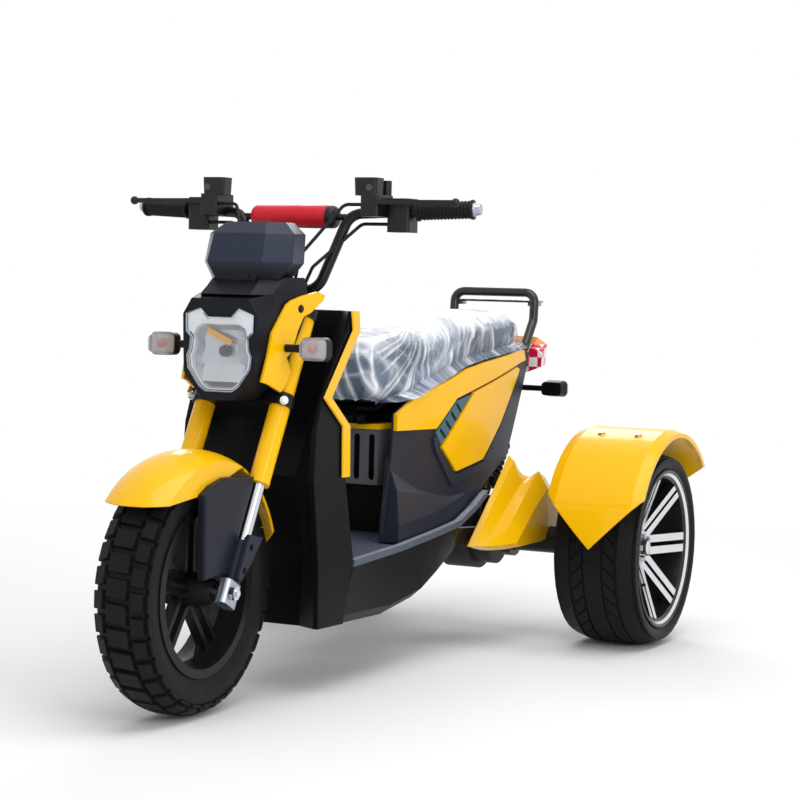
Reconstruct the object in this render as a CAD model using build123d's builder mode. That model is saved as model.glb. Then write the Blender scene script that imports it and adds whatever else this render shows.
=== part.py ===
from build123d import *
import os
from math import asin, cos, degrees, radians, sin

# Three-wheeled electric scooter: one steered front wheel, two wide rear wheels on a live axle.
# Millimetres; +X forward, +Y to the rider's left, +Z up, ground at Z = 0.
# The origin lies on the ground under the middle of the overall length.

os.makedirs("parts", exist_ok=True)

# Overall layout
OVERALL_LENGTH = 1790.0
WHEELBASE = 1291.0
TRACK = 840.0
FRONT_TYRE_RADIUS = 243.0
FRONT_TYRE_WIDTH = 116.0
FRONT_RIM_RADIUS = 167.0
REAR_TYRE_RADIUS = 228.0
REAR_TYRE_WIDTH = 200.0
REAR_RIM_RADIUS = 184.0
RAKE = 28.0
AXLE_OFFSET = 53.0
FORK_OFFSET = 35.0
FORK_HALF_SPACING = 85.5
WALL = 4.0
GAP = 0.3
RUNNING_GAP = 0.08

FRONT_AXLE_X = OVERALL_LENGTH / 2 - FRONT_TYRE_RADIUS
REAR_AXLE_X = FRONT_AXLE_X - WHEELBASE
REAR_WHEEL_Y = TRACK / 2
RAKE_COS = cos(radians(RAKE))
RAKE_SIN = sin(radians(RAKE))

# Steering frame: Z runs up the steering axis, X points ahead of it, origin level with the axle
STEER = Plane(
    origin=(FRONT_AXLE_X - AXLE_OFFSET * RAKE_COS, 0, FRONT_TYRE_RADIUS - AXLE_OFFSET * RAKE_SIN),
    x_dir=(RAKE_COS, 0, RAKE_SIN),
    z_dir=(-RAKE_SIN, 0, RAKE_COS),
)
FRONT_CENTRE = (FRONT_AXLE_X, 0, FRONT_TYRE_RADIUS)
REAR_CENTRE = (REAR_AXLE_X, REAR_WHEEL_Y, REAR_TYRE_RADIUS)
FRONT_SPIN = Axis(FRONT_CENTRE, (0, 1, 0))
REAR_SPIN = Axis(REAR_CENTRE, (0, 1, 0))


def wheel_section(centre):
    # Half plane through a wheel's axle: first coordinate is the radius, second runs along the axle
    return Plane(origin=centre, x_dir=(1, 0, 0), z_dir=(0, 0, 1))


def wheel_side(centre, offset=0.0):
    # Plane across the axle, facing the left side of the vehicle
    return Plane(
        origin=(centre[0], centre[1] + offset, centre[2]), x_dir=(-1, 0, 0), z_dir=(0, 1, 0)
    )


def side_plane(y):
    # Side view at a given Y: first coordinate forward, second up, extruded towards +Y when negative
    return Plane(origin=(0, y, 0), x_dir=(1, 0, 0), z_dir=(0, -1, 0))


def front_plane(x):
    # Front view at a given X: first coordinate to the left, second up, extruded forward
    return Plane(origin=(x, 0, 0), x_dir=(0, 1, 0), z_dir=(1, 0, 0))


def mirrored(half):
    # Closed outline from the points of one half, the other half reflected in the first coordinate
    return half + [(-a, b) for a, b in reversed(half) if abs(a) > 1e-6]


def pipe(points, bend, radius):
    with BuildPart() as run:
        with BuildLine() as route:
            if len(points) > 2:
                FilletPolyline(*points, radius=bend)
            else:
                Line(*points)
        with BuildSketch(Plane(origin=route.line @ 0, z_dir=route.line % 0)):
            Circle(radius)
        sweep(path=route.line)
    return run.part


def write(piece, name):
    piece.part.label = name
    export_step(piece.part, "parts/" + name + ".step")


# Front tyre, a tubeless block-tread tyre on a 12 inch rim
FRONT_BEAD_RADIUS = FRONT_RIM_RADIUS - 12.0
FRONT_BEAD_HALF = 44.0
FRONT_SECTION = FRONT_TYRE_RADIUS - FRONT_RIM_RADIUS
FRONT_SHOULDER = FRONT_TYRE_RADIUS - 0.342 * FRONT_SECTION
FRONT_CROWN_EDGE = FRONT_TYRE_RADIUS - 0.197 * FRONT_SECTION
FRONT_FLANK = FRONT_RIM_RADIUS + 0.342 * FRONT_SECTION
with BuildPart() as front_tyre:
    with BuildSketch(wheel_section(FRONT_CENTRE)):
        with BuildLine():
            half = FRONT_TYRE_WIDTH / 2
            lower = Polyline(
                (FRONT_RIM_RADIUS + 2, -FRONT_BEAD_HALF - 4),
                (FRONT_RIM_RADIUS + 0.5, 0.5 - FRONT_BEAD_HALF),
                (FRONT_BEAD_RADIUS, 0.5 - FRONT_BEAD_HALF),
                (FRONT_BEAD_RADIUS, FRONT_BEAD_HALF - 0.5),
                (FRONT_RIM_RADIUS + 0.5, FRONT_BEAD_HALF - 0.5),
                (FRONT_RIM_RADIUS + 2, FRONT_BEAD_HALF + 4),
            )
            ThreePointArc(lower @ 1, (FRONT_FLANK, half - 1), (FRONT_SHOULDER, half))
            Line((FRONT_SHOULDER, half), (FRONT_CROWN_EDGE, half - 3))
            ThreePointArc(
                (FRONT_CROWN_EDGE, half - 3), (FRONT_TYRE_RADIUS, 0), (FRONT_CROWN_EDGE, 3 - half)
            )
            Line((FRONT_CROWN_EDGE, 3 - half), (FRONT_SHOULDER, -half))
            ThreePointArc((FRONT_SHOULDER, -half), (FRONT_FLANK, 1 - half), lower @ 0)
        make_face()
    revolve(axis=FRONT_SPIN)
write(front_tyre, "front_tyre")

# Front wheel, cast aluminium with thin paired spokes
FRONT_AXLE_RADIUS = 7.4
FRONT_HUB_HALF = 66.0
FRONT_HUB_RADIUS = 34.0
FRONT_SPOKE_PAIRS = 5
FRONT_BARREL_INSIDE = FRONT_BEAD_RADIUS - 9.0
with BuildPart() as front_rim:
    with BuildSketch(wheel_side(FRONT_CENTRE, -11)):
        with PolarLocations(0, FRONT_SPOKE_PAIRS, start_angle=18):
            with Locations((88, 15), (88, -15)):
                Rectangle(FRONT_BARREL_INSIDE - 24, 11)
    extrude(amount=22)
    with BuildSketch(wheel_section(FRONT_CENTRE)):
        Polygon(
            (FRONT_BEAD_RADIUS - GAP, FRONT_BEAD_HALF),
            (FRONT_RIM_RADIUS, FRONT_BEAD_HALF + 1),
            (FRONT_RIM_RADIUS, FRONT_BEAD_HALF + 6),
            (FRONT_BARREL_INSIDE + 3, FRONT_BEAD_HALF + 6),
            (FRONT_BARREL_INSIDE, 24),
            (FRONT_BARREL_INSIDE - 6, 0),
            (FRONT_BARREL_INSIDE, -24),
            (FRONT_BARREL_INSIDE + 3, -FRONT_BEAD_HALF - 6),
            (FRONT_RIM_RADIUS, -FRONT_BEAD_HALF - 6),
            (FRONT_RIM_RADIUS, -FRONT_BEAD_HALF - 1),
            (FRONT_BEAD_RADIUS - GAP, -FRONT_BEAD_HALF),
            align=None,
        )
        Polygon(
            (FRONT_AXLE_RADIUS + RUNNING_GAP, -FRONT_HUB_HALF),
            (FRONT_HUB_RADIUS - 12, -FRONT_HUB_HALF),
            (FRONT_HUB_RADIUS, -30),
            (FRONT_HUB_RADIUS, 30),
            (FRONT_HUB_RADIUS - 12, FRONT_HUB_HALF),
            (FRONT_AXLE_RADIUS + RUNNING_GAP, FRONT_HUB_HALF),
            align=None,
        )
    revolve(axis=FRONT_SPIN)
write(front_rim, "front_rim")

# Front brake disc on the right face of the hub
DISC_RADIUS = 92.0
DISC_THICKNESS = 4.0
DISC_Y = -60.0
with BuildPart() as front_disc:
    with BuildSketch(wheel_side(FRONT_CENTRE, DISC_Y - DISC_THICKNESS / 2)):
        Circle(DISC_RADIUS)
        Circle(25, mode=Mode.SUBTRACT)
        with PolarLocations(50, 6):
            Circle(14, mode=Mode.SUBTRACT)
        with PolarLocations(80, 18):
            Circle(4, mode=Mode.SUBTRACT)
    extrude(amount=DISC_THICKNESS)
write(front_disc, "front_disc")

# Front axle pin with a nut at each end
AXLE_HALF = 104.0
with BuildPart() as front_axle:
    with BuildSketch(wheel_side(FRONT_CENTRE)):
        Circle(FRONT_AXLE_RADIUS)
    extrude(amount=AXLE_HALF + 14, both=True)
    for end in (-AXLE_HALF - 10, AXLE_HALF):
        with BuildSketch(wheel_side(FRONT_CENTRE, end)):
            RegularPolygon(radius=14, side_count=6)
        extrude(amount=10)
write(front_axle, "front_axle")

# Rear tyres, low and wide
REAR_BEAD_RADIUS = REAR_RIM_RADIUS - 11.0
REAR_BEAD_HALF = 88.0
REAR_SECTION = REAR_TYRE_RADIUS - REAR_RIM_RADIUS
REAR_FLANK = REAR_RIM_RADIUS + 0.32 * REAR_SECTION
REAR_SHOULDER = [
    (REAR_TYRE_RADIUS - 0.39 * REAR_SECTION, 1.0),
    (REAR_TYRE_RADIUS - 0.16 * REAR_SECTION, 6.0),
    (REAR_TYRE_RADIUS - 0.045 * REAR_SECTION, 17.0),
]
with BuildPart() as rear_left_tyre:
    with BuildSketch(wheel_section(REAR_CENTRE)):
        with BuildLine():
            half = REAR_TYRE_WIDTH / 2
            lower = Polyline(
                (REAR_RIM_RADIUS + 2, -REAR_BEAD_HALF - 4),
                (REAR_RIM_RADIUS + 0.5, 0.5 - REAR_BEAD_HALF),
                (REAR_BEAD_RADIUS, 0.5 - REAR_BEAD_HALF),
                (REAR_BEAD_RADIUS, REAR_BEAD_HALF - 0.5),
                (REAR_RIM_RADIUS + 0.5, REAR_BEAD_HALF - 0.5),
                (REAR_RIM_RADIUS + 2, REAR_BEAD_HALF + 4),
            )
            left = [(radius, half - inset) for radius, inset in REAR_SHOULDER]
            right = [(radius, inset - half) for radius, inset in reversed(REAR_SHOULDER)]
            ThreePointArc(lower @ 1, (REAR_FLANK, half - 1), left[0])
            ThreePointArc(*left)
            ThreePointArc(left[2], (REAR_TYRE_RADIUS, 0), right[0])
            ThreePointArc(*right)
            ThreePointArc(right[2], (REAR_FLANK, 1 - half), lower @ 0)
        make_face()
    revolve(axis=REAR_SPIN)
write(rear_left_tyre, "rear_left_tyre")

with BuildPart() as rear_right_tyre:
    mirror(rear_left_tyre.part, about=Plane.XZ)
write(rear_right_tyre, "rear_right_tyre")

# Rear wheels: deep dish, seven double spokes, hub with its half shaft
SPOKES = 7
SPOKE_WIDTH = 18.0
SPOKE_SPREAD = 14.0
DISH_HUB_Y = 26.0
DISH_RIM_Y = 88.0
DISH_DEPTH = 20.0
REAR_HUB_RADIUS = 46.0
REAR_BARREL_INSIDE = REAR_BEAD_RADIUS - 8.0
SHAFT_RADIUS = 15.0
SHAFT_INNER_Y = -180.0
HUB_INNER_Y = -108.0
with BuildPart() as rear_left_rim:
    with BuildSketch(wheel_section(REAR_CENTRE)):
        Polygon(
            (20, DISH_HUB_Y),
            (20, DISH_HUB_Y - DISH_DEPTH),
            (REAR_BARREL_INSIDE + 4, DISH_RIM_Y - DISH_DEPTH),
            (REAR_BARREL_INSIDE + 4, DISH_RIM_Y),
            align=None,
        )
    revolve(axis=REAR_SPIN)
    with BuildSketch(wheel_side(REAR_CENTRE, -10)):
        with PolarLocations(0, SPOKES):
            with Locations((100, SPOKE_SPREAD), (100, -SPOKE_SPREAD)):
                Rectangle(150, SPOKE_WIDTH)
    extrude(amount=120, mode=Mode.INTERSECT)
    with BuildSketch(wheel_section(REAR_CENTRE)):
        Polygon(
            (REAR_BEAD_RADIUS - GAP, REAR_BEAD_HALF),
            (REAR_RIM_RADIUS, REAR_BEAD_HALF + 1),
            (REAR_RIM_RADIUS, REAR_BEAD_HALF + 8),
            (REAR_RIM_RADIUS - 5, REAR_BEAD_HALF + 9),
            (REAR_BARREL_INSIDE, REAR_BEAD_HALF - 4),
            (REAR_BARREL_INSIDE - 3, 0),
            (REAR_BARREL_INSIDE, -REAR_BEAD_HALF + 4),
            (REAR_RIM_RADIUS - 5, -REAR_BEAD_HALF - 9),
            (REAR_RIM_RADIUS, -REAR_BEAD_HALF - 8),
            (REAR_RIM_RADIUS, -REAR_BEAD_HALF - 1),
            (REAR_BEAD_RADIUS - GAP, -REAR_BEAD_HALF),
            align=None,
        )
        Polygon(
            (0, SHAFT_INNER_Y),
            (SHAFT_RADIUS, SHAFT_INNER_Y),
            (SHAFT_RADIUS, HUB_INNER_Y),
            (36, HUB_INNER_Y),
            (36, 0),
            (REAR_HUB_RADIUS, 6),
            (REAR_HUB_RADIUS, DISH_HUB_Y + 6),
            (REAR_HUB_RADIUS - 8, DISH_HUB_Y + 14),
            (18, DISH_HUB_Y + 14),
            (16, DISH_HUB_Y + 28),
            (0, DISH_HUB_Y + 28),
            align=None,
        )
    revolve(axis=REAR_SPIN)
write(rear_left_rim, "rear_left_rim")

with BuildPart() as rear_right_rim:
    mirror(rear_left_rim.part, about=Plane.XZ)
write(rear_right_rim, "rear_right_rim")

# Fork: painted outer tubes above, chrome stanchions, dark lower legs, silver axle clamps
FORK_TUBE_RADIUS = 21.0
STANCHION_RADIUS = 13.5
LOWER_LEG_RADIUS = 17.0
LEG_TOP = 110.0
TUBE_BOTTOM = 231.0
TUBE_TOP = 612.0
CLAMP_HALF = 24.0
LEG_PLATE_Y = FORK_HALF_SPACING + 14.0
LEG_PLATE = [(53, 120), (4, 134), (20, 74), (38, 30), (53, 30)]
LEG_HOLES = [(36, 100), (38, 52)]
FORK_PLACES = [(FORK_OFFSET, FORK_HALF_SPACING), (FORK_OFFSET, -FORK_HALF_SPACING)]
with BuildPart() as fork_tubes:
    with BuildSketch(STEER.offset(TUBE_BOTTOM)):
        with Locations(*FORK_PLACES):
            Circle(FORK_TUBE_RADIUS)
    extrude(amount=TUBE_TOP - TUBE_BOTTOM)
    with BuildSketch(STEER.offset(TUBE_BOTTOM)):
        with Locations(*FORK_PLACES):
            Circle(STANCHION_RADIUS + GAP)
    extrude(amount=40, mode=Mode.SUBTRACT)
write(fork_tubes, "fork_tubes")

with BuildPart() as fork_stanchions:
    with BuildSketch(STEER.offset(LEG_TOP + GAP)):
        with Locations(*FORK_PLACES):
            Circle(STANCHION_RADIUS)
    extrude(amount=TUBE_BOTTOM + 36 - LEG_TOP)
write(fork_stanchions, "fork_stanchions")

with BuildPart() as fork_lowers:
    with BuildSketch(STEER.offset(CLAMP_HALF + GAP)):
        with Locations(*FORK_PLACES):
            Circle(LOWER_LEG_RADIUS)
    extrude(amount=LEG_TOP - CLAMP_HALF - GAP)
    for side in (1, -1):
        plate_foot = STEER.from_local_coords((0, side * LEG_PLATE_Y, 0))
        with BuildSketch(Plane(origin=plate_foot, x_dir=STEER.x_dir, z_dir=(0, -1, 0))):
            Polygon(*LEG_PLATE, align=None)
            with Locations(*LEG_HOLES):
                Circle(6.5, mode=Mode.SUBTRACT)
        extrude(amount=-9 * side)
write(fork_lowers, "fork_lowers")

CLAMP_INNER_Y = 76.0
CLAMP_OUTER_Y = 103.0
with BuildPart() as axle_clamps:
    with BuildSketch(STEER.offset(-CLAMP_HALF)):
        with Locations(
            (AXLE_OFFSET - 9, (CLAMP_INNER_Y + CLAMP_OUTER_Y) / 2),
            (AXLE_OFFSET - 9, -(CLAMP_INNER_Y + CLAMP_OUTER_Y) / 2),
        ):
            RectangleRounded(52, CLAMP_OUTER_Y - CLAMP_INNER_Y, 12)
    extrude(amount=2 * CLAMP_HALF)
    with BuildSketch(wheel_side(FRONT_CENTRE)):
        Circle(FRONT_AXLE_RADIUS + GAP)
    extrude(amount=AXLE_HALF, both=True, mode=Mode.SUBTRACT)
write(axle_clamps, "axle_clamps")

# Yokes: lower and upper clamp plates on one stem, handlebar risers and the lamp bracket
STEM_RADIUS = 16.0
YOKE_RADIUS = 26.0
LOWER_YOKE = 395.0
LOWER_YOKE_THICK = 26.0
UPPER_YOKE = 590.0
UPPER_YOKE_THICK = 20.0
BAR_RADIUS = 11.0
BAR_AHEAD = 2.5
BAR_UP = 674.0
RISER_Y = 36.0
LAMP_BACK_X = 500.0
with BuildPart() as yokes:
    for level, thick in ((LOWER_YOKE, LOWER_YOKE_THICK), (UPPER_YOKE, UPPER_YOKE_THICK)):
        with BuildSketch(STEER.offset(level)):
            with Locations(*FORK_PLACES, (0, 0)):
                Circle(YOKE_RADIUS)
            make_hull()
            with Locations(*FORK_PLACES):
                Circle(FORK_TUBE_RADIUS + GAP, mode=Mode.SUBTRACT)
        extrude(amount=thick)
    with BuildSketch(STEER.offset(LOWER_YOKE)):
        Circle(STEM_RADIUS)
    extrude(amount=UPPER_YOKE - LOWER_YOKE)
    with BuildSketch(STEER.offset(UPPER_YOKE + UPPER_YOKE_THICK)):
        with Locations((BAR_AHEAD, RISER_Y), (BAR_AHEAD, -RISER_Y)):
            RectangleRounded(38, 24, 5)
    extrude(amount=BAR_UP + 18 - UPPER_YOKE - UPPER_YOKE_THICK)
    with BuildSketch(Plane(origin=STEER.from_local_coords((BAR_AHEAD, 0, BAR_UP)), z_dir=(0, 1, 0))):
        Circle(BAR_RADIUS + GAP)
    extrude(amount=80, both=True, mode=Mode.SUBTRACT)
    with BuildSketch(front_plane(LAMP_BACK_X - GAP)):
        with Locations((0, 624)):
            Rectangle(44, 36)
    extrude(amount=-42)
write(yokes, "yokes")

# Handlebar with its crossbar
BAR_CLAMP = STEER.from_local_coords((BAR_AHEAD, 0, BAR_UP))
BAR_CLAMP_Y = 78.0
BAR_BEND = (246.0, 125.0, 972.0)
BAR_END = (209.0, 384.0, 984.0)
BAR_FILLET = 38.0
CROSSBAR_Z = 965.0
CROSSBAR_RISE = (CROSSBAR_Z - BAR_CLAMP.Z) / (BAR_BEND[2] - BAR_CLAMP.Z)
CROSSBAR_X = BAR_CLAMP.X + (BAR_BEND[0] - BAR_CLAMP.X) * CROSSBAR_RISE
PAD_RADIUS = 25.0
PAD_HALF = 98.0
bar_tube = pipe(
    [
        BAR_END,
        BAR_BEND,
        (BAR_CLAMP.X, BAR_CLAMP_Y, BAR_CLAMP.Z),
        (BAR_CLAMP.X, -BAR_CLAMP_Y, BAR_CLAMP.Z),
        (BAR_BEND[0], -BAR_BEND[1], BAR_BEND[2]),
        (BAR_END[0], -BAR_END[1], BAR_END[2]),
    ],
    BAR_FILLET,
    BAR_RADIUS,
)
with BuildPart() as handlebar:
    add(bar_tube)
    with BuildSketch(Plane(origin=(CROSSBAR_X, 0, CROSSBAR_Z), z_dir=(0, 1, 0))):
        Circle(7)
    extrude(amount=120, both=True)
write(handlebar, "handlebar")

with BuildPart() as crossbar_pad:
    with BuildSketch(Plane(origin=(CROSSBAR_X, 0, CROSSBAR_Z), z_dir=(0, 1, 0))):
        Circle(PAD_RADIUS)
        Circle(7 + GAP, mode=Mode.SUBTRACT)
    extrude(amount=PAD_HALF, both=True)
write(crossbar_pad, "crossbar_pad")

# Controls along the left half of the bar, reflected to the right; distances run in from the bar end
BAR_INWARD = Plane(
    origin=BAR_END,
    x_dir=(1, 0, 0),
    z_dir=(BAR_BEND[0] - BAR_END[0], BAR_BEND[1] - BAR_END[1], BAR_BEND[2] - BAR_END[2]),
)
GRIP_LENGTH = 118.0
SWITCH_LENGTH = 58.0
with BuildPart() as grips:
    with BuildSketch(BAR_INWARD):
        Circle(17)
        Circle(BAR_RADIUS + GAP, mode=Mode.SUBTRACT)
    extrude(amount=GRIP_LENGTH)
    for place in (0.0, GRIP_LENGTH - 5):
        with BuildSketch(BAR_INWARD.offset(place)):
            Circle(20)
            Circle(BAR_RADIUS + GAP, mode=Mode.SUBTRACT)
        extrude(amount=5)
    mirror(about=Plane.XZ)
write(grips, "grips")

with BuildPart() as switch_housings:
    with BuildSketch(Plane(origin=(0, 0, 0)).offset(936)):
        with Locations((226, 234)):
            RectangleRounded(50, SWITCH_LENGTH - 8, 8)
    extrude(amount=68)
    with BuildSketch(BAR_INWARD.offset(60)):
        Circle(BAR_RADIUS + GAP)
    extrude(amount=160, mode=Mode.SUBTRACT)
    mirror(about=Plane.XZ)
write(switch_housings, "switch_housings")

PERCH_Y = 187.0
PERCH_WIDTH = 40.0
BOSS_X = 240.0
BOSS_Y = 201.0
BOSS_TOP = 1040.0
MIRROR_HOLE_RADIUS = 5.0
MIRROR_HOLE_DEPTH = 24.0
LEVER_Z = 990.0
LEVER_TIP_Y = 374.0
with BuildPart() as brake_controls:
    with BuildSketch(Plane.XY.offset(966)):
        with Locations((250, PERCH_Y)):
            RectangleRounded(74, PERCH_WIDTH, 6)
    extrude(amount=44)
    with BuildSketch(Plane.XY.offset(1008)):
        with Locations((266, PERCH_Y - 10)):
            RectangleRounded(40, 48, 8)
    extrude(amount=36, taper=-3)
    with BuildSketch(Plane.XY.offset(1000)):
        with Locations((BOSS_X - 14, BOSS_Y - 4)):
            Circle(10)
    extrude(amount=BOSS_TOP - 1000)
    with BuildSketch(Plane.XY.offset(BOSS_TOP)):
        with Locations((BOSS_X - 14, BOSS_Y - 4)):
            Circle(MIRROR_HOLE_RADIUS)
    extrude(amount=-MIRROR_HOLE_DEPTH, mode=Mode.SUBTRACT)
    with BuildSketch(BAR_INWARD.offset(120)):
        Circle(BAR_RADIUS + GAP)
    extrude(amount=130, mode=Mode.SUBTRACT)
    with BuildSketch(Plane.XY.offset(LEVER_Z)):
        Polygon(
            (262, PERCH_Y + PERCH_WIDTH / 2 - 8),
            (286, PERCH_Y + PERCH_WIDTH / 2 - 8),
            (290, 240),
            (282, 300),
            (283, LEVER_TIP_Y),
            (271, LEVER_TIP_Y),
            (270, 300),
            (274, 240),
            (268, 224),
            align=None,
        )
    extrude(amount=10)
    with Locations((277, LEVER_TIP_Y, LEVER_Z + 5)):
        Sphere(9)
    mirror(about=Plane.XZ)
write(brake_controls, "brake_controls")

# Switch cables and brake hoses from the bar down to the upper yoke
CABLE_RADIUS = 3.5
YOKE_TOP = UPPER_YOKE + UPPER_YOKE_THICK + GAP
CABLE_ROUTES = [
    ((30, 58), [(240, 208.6, 952), (240, 150, 952), (318, 80, 862)]),
    ((34, 42), [(274, 166.6, 990), (274, 126, 990), (344, 64, 884)]),
]
cables = []
for (ahead, across), upper in CABLE_ROUTES:
    foot = STEER.from_local_coords((ahead, across, YOKE_TOP))
    entry = STEER.from_local_coords((ahead, across, YOKE_TOP + 44))
    cables.append(pipe(upper + [tuple(entry), tuple(foot)], 16, CABLE_RADIUS))
with BuildPart() as control_cables:
    add(cables)
    mirror(about=Plane.XZ)
write(control_cables, "control_cables")

# Instrument visor with the meter at its back, in flat facets.
# Columns: height, then X and half width at back, middle and front
VISOR_SECTIONS = [
    (806.3, (400, 30), (455, 36), (474, 22)),
    (832.0, (388, 66), (448, 74), (486, 44)),
    (868.0, (378, 93), (438, 100), (493, 62)),
    (925.0, (372, 92), (425, 96), (474, 58)),
    (948.0, (372, 66), (410, 68), (447, 44)),
]
METER_PLANE = Plane(origin=(374, 0, 902), x_dir=(0, 1, 0), z_dir=(-1, 0, 0))
with BuildPart() as instrument_visor:
    for height, *places in VISOR_SECTIONS:
        with BuildSketch(Plane.XY.offset(height)):
            Polygon(*places, *[(x, -half) for x, half in reversed(places)], align=None)
    loft(ruled=True)
    with BuildSketch(METER_PLANE.offset(-8)):
        RectangleRounded(120, 62, 18)
    extrude(amount=26, taper=12)
write(instrument_visor, "instrument_visor")

# Headlamp: shield outline with a notch at the top; half outlines in Y and Z
LAMP_FRONT_X = 550.0
LAMP_LENS_DEPTH = 10.0
LAMP_HALF = [
    (0, 761), (27, 761), (44, 778), (76, 766), (75, 731), (65, 721),
    (67, 698), (73, 685), (70, 660), (44, 624), (28, 614), (0, 614),
]
with BuildPart() as headlamp_bowl:
    with BuildSketch(front_plane(LAMP_BACK_X)):
        Polygon(*mirrored(LAMP_HALF), align=None)
    extrude(amount=LAMP_FRONT_X - LAMP_LENS_DEPTH - GAP - LAMP_BACK_X)
    with BuildSketch(front_plane(LAMP_BACK_X + 10)):
        Polygon(*mirrored(LAMP_HALF), align=None)
        offset(amount=-5, mode=Mode.REPLACE)
    extrude(amount=60, mode=Mode.SUBTRACT)
write(headlamp_bowl, "headlamp_bowl")

with BuildPart() as headlamp_lens:
    with BuildSketch(front_plane(LAMP_FRONT_X - LAMP_LENS_DEPTH)):
        Polygon(*mirrored(LAMP_HALF), align=None)
    extrude(amount=LAMP_LENS_DEPTH)
    chamfer(headlamp_lens.faces().sort_by(Axis.X)[-1].edges(), 3)
write(headlamp_lens, "headlamp_lens")

# Lamp mask: shell around the lamp, open towards the fork
MASK_FRONT_X = 544.0
MASK_CUT = 68.0
MASK_SECTIONS = [
    (364, [(0, 598), (55, 602), (107, 648), (109, 700), (111, 765), (106, 806), (0, 806)]),
    (480, [(0, 598), (48, 600), (89, 649), (91, 700), (93, 765), (84, 806), (0, 806)]),
    (MASK_FRONT_X, [(0, 598), (36, 599), (79, 652), (81, 700), (83, 765), (64, 796), (0, 796)]),
]
# Hood that rises from the mask to the foot of the visor; columns: height, then X and half width
HOOD_SECTIONS = [
    (804, [(372, 100), (480, 80), (526, 56)]),
    (840, [(372, 92), (430, 84), (476, 52)]),
]
with BuildPart() as headlamp_mask:
    for x, half in MASK_SECTIONS:
        with BuildSketch(front_plane(x)):
            Polygon(*mirrored(half), align=None)
    loft(ruled=True)
    for x, half in MASK_SECTIONS:
        with BuildSketch(front_plane(min(x, MASK_FRONT_X - 6))):
            Polygon(*mirrored(half), align=None)
            offset(amount=-WALL, mode=Mode.REPLACE)
    loft(ruled=True, mode=Mode.SUBTRACT)
    with BuildSketch(front_plane(MASK_FRONT_X - 30)):
        Polygon(*mirrored(LAMP_HALF), align=None)
        offset(amount=GAP, mode=Mode.REPLACE)
    extrude(amount=60, mode=Mode.SUBTRACT)
    with BuildSketch(STEER.offset(300)):
        with Locations((MASK_CUT - 150, 0)):
            Rectangle(300, 400)
    extrude(amount=500, mode=Mode.SUBTRACT)
    for height, outline in HOOD_SECTIONS:
        with BuildSketch(Plane.XY.offset(height)):
            Polygon(*outline, *[(x, -half) for x, half in reversed(outline)], align=None)
    loft(ruled=True)
    for height, *places in VISOR_SECTIONS[:3]:
        outline = [(x - 0.6, half + 0.6) for x, half in places[:1]]
        outline += [(x + 0.6, half + 0.6) for x, half in places[1:]]
        with BuildSketch(Plane.XY.offset(height - GAP)):
            Polygon(*outline, *[(x, -half) for x, half in reversed(outline)], align=None)
    loft(ruled=True, mode=Mode.SUBTRACT)
write(headlamp_mask, "headlamp_mask")

# Painted cheeks on the flanks of the mask
CHEEK_THICK = 6.0
CHEEK_SPLAY = degrees(asin(28 / 182.2))
CHEEK_OUTLINE = [
    (458, 787), (443, 795), (411, 804), (360, 813), (336, 806), (341, 796), (379, 772), (404, 763),
    (422, 736), (439, 696), (456, 683), (441, 656), (452, 634), (472, 616), (511, 632), (532, 637),
    (515, 686), (503, 731),
]
with BuildPart() as mask_cheeks:
    with BuildSketch(
        Plane(
            origin=(MASK_FRONT_X, 83.6, 0),
            x_dir=(-cos(radians(CHEEK_SPLAY)), sin(radians(CHEEK_SPLAY)), 0),
            z_dir=(sin(radians(CHEEK_SPLAY)), cos(radians(CHEEK_SPLAY)), 0),
        )
    ):
        Polygon(*[(MASK_FRONT_X - x, z) for x, z in CHEEK_OUTLINE], align=None)
    extrude(amount=CHEEK_THICK)
    mirror(about=Plane.XZ)
write(mask_cheeks, "mask_cheeks")

# Front turn signals on short stalks
SIGNAL_X = 454.0
SIGNAL_DEPTH = 22.0
SIGNAL_Y = 172.0
SIGNAL_STALK_X = 463.0
SIGNAL_STALK_Y = 104.1
SIGNAL_Z = 702.0
with BuildPart() as front_signals:
    with BuildSketch(front_plane(SIGNAL_X)):
        with Locations((SIGNAL_Y, SIGNAL_Z)):
            RectangleRounded(58, 46, 13)
    extrude(amount=SIGNAL_DEPTH)
    with BuildSketch(Plane(origin=(SIGNAL_STALK_X, SIGNAL_STALK_Y, SIGNAL_Z), z_dir=(0, 1, 0))):
        Circle(8)
    extrude(amount=SIGNAL_Y - SIGNAL_STALK_Y - 20)
    mirror(about=Plane.XZ)
write(front_signals, "front_signals")

with BuildPart() as front_signal_lenses:
    with BuildSketch(front_plane(SIGNAL_X + SIGNAL_DEPTH + GAP)):
        with Locations((SIGNAL_Y, SIGNAL_Z)):
            RectangleRounded(57, 45, 13)
    extrude(amount=18, taper=20)
    mirror(about=Plane.XZ)
write(front_signal_lenses, "front_signal_lenses")

# Front fender: crowned strip over the tyre with side skirts ahead of the fork
FENDER_RADIUS = FRONT_TYRE_RADIUS + 20.0
FENDER_SKIN = 4.0
FENDER_HALF = 70.0
FENDER_DROP = 20.0
FENDER_FRONT = 37.0
FENDER_REAR = 184.0
SKIRT_REAR = 110.0
FLAP_HALF = 60.0
CROWN_RADIUS = (FENDER_HALF ** 2 + FENDER_DROP ** 2) / (2 * FENDER_DROP)

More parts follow.
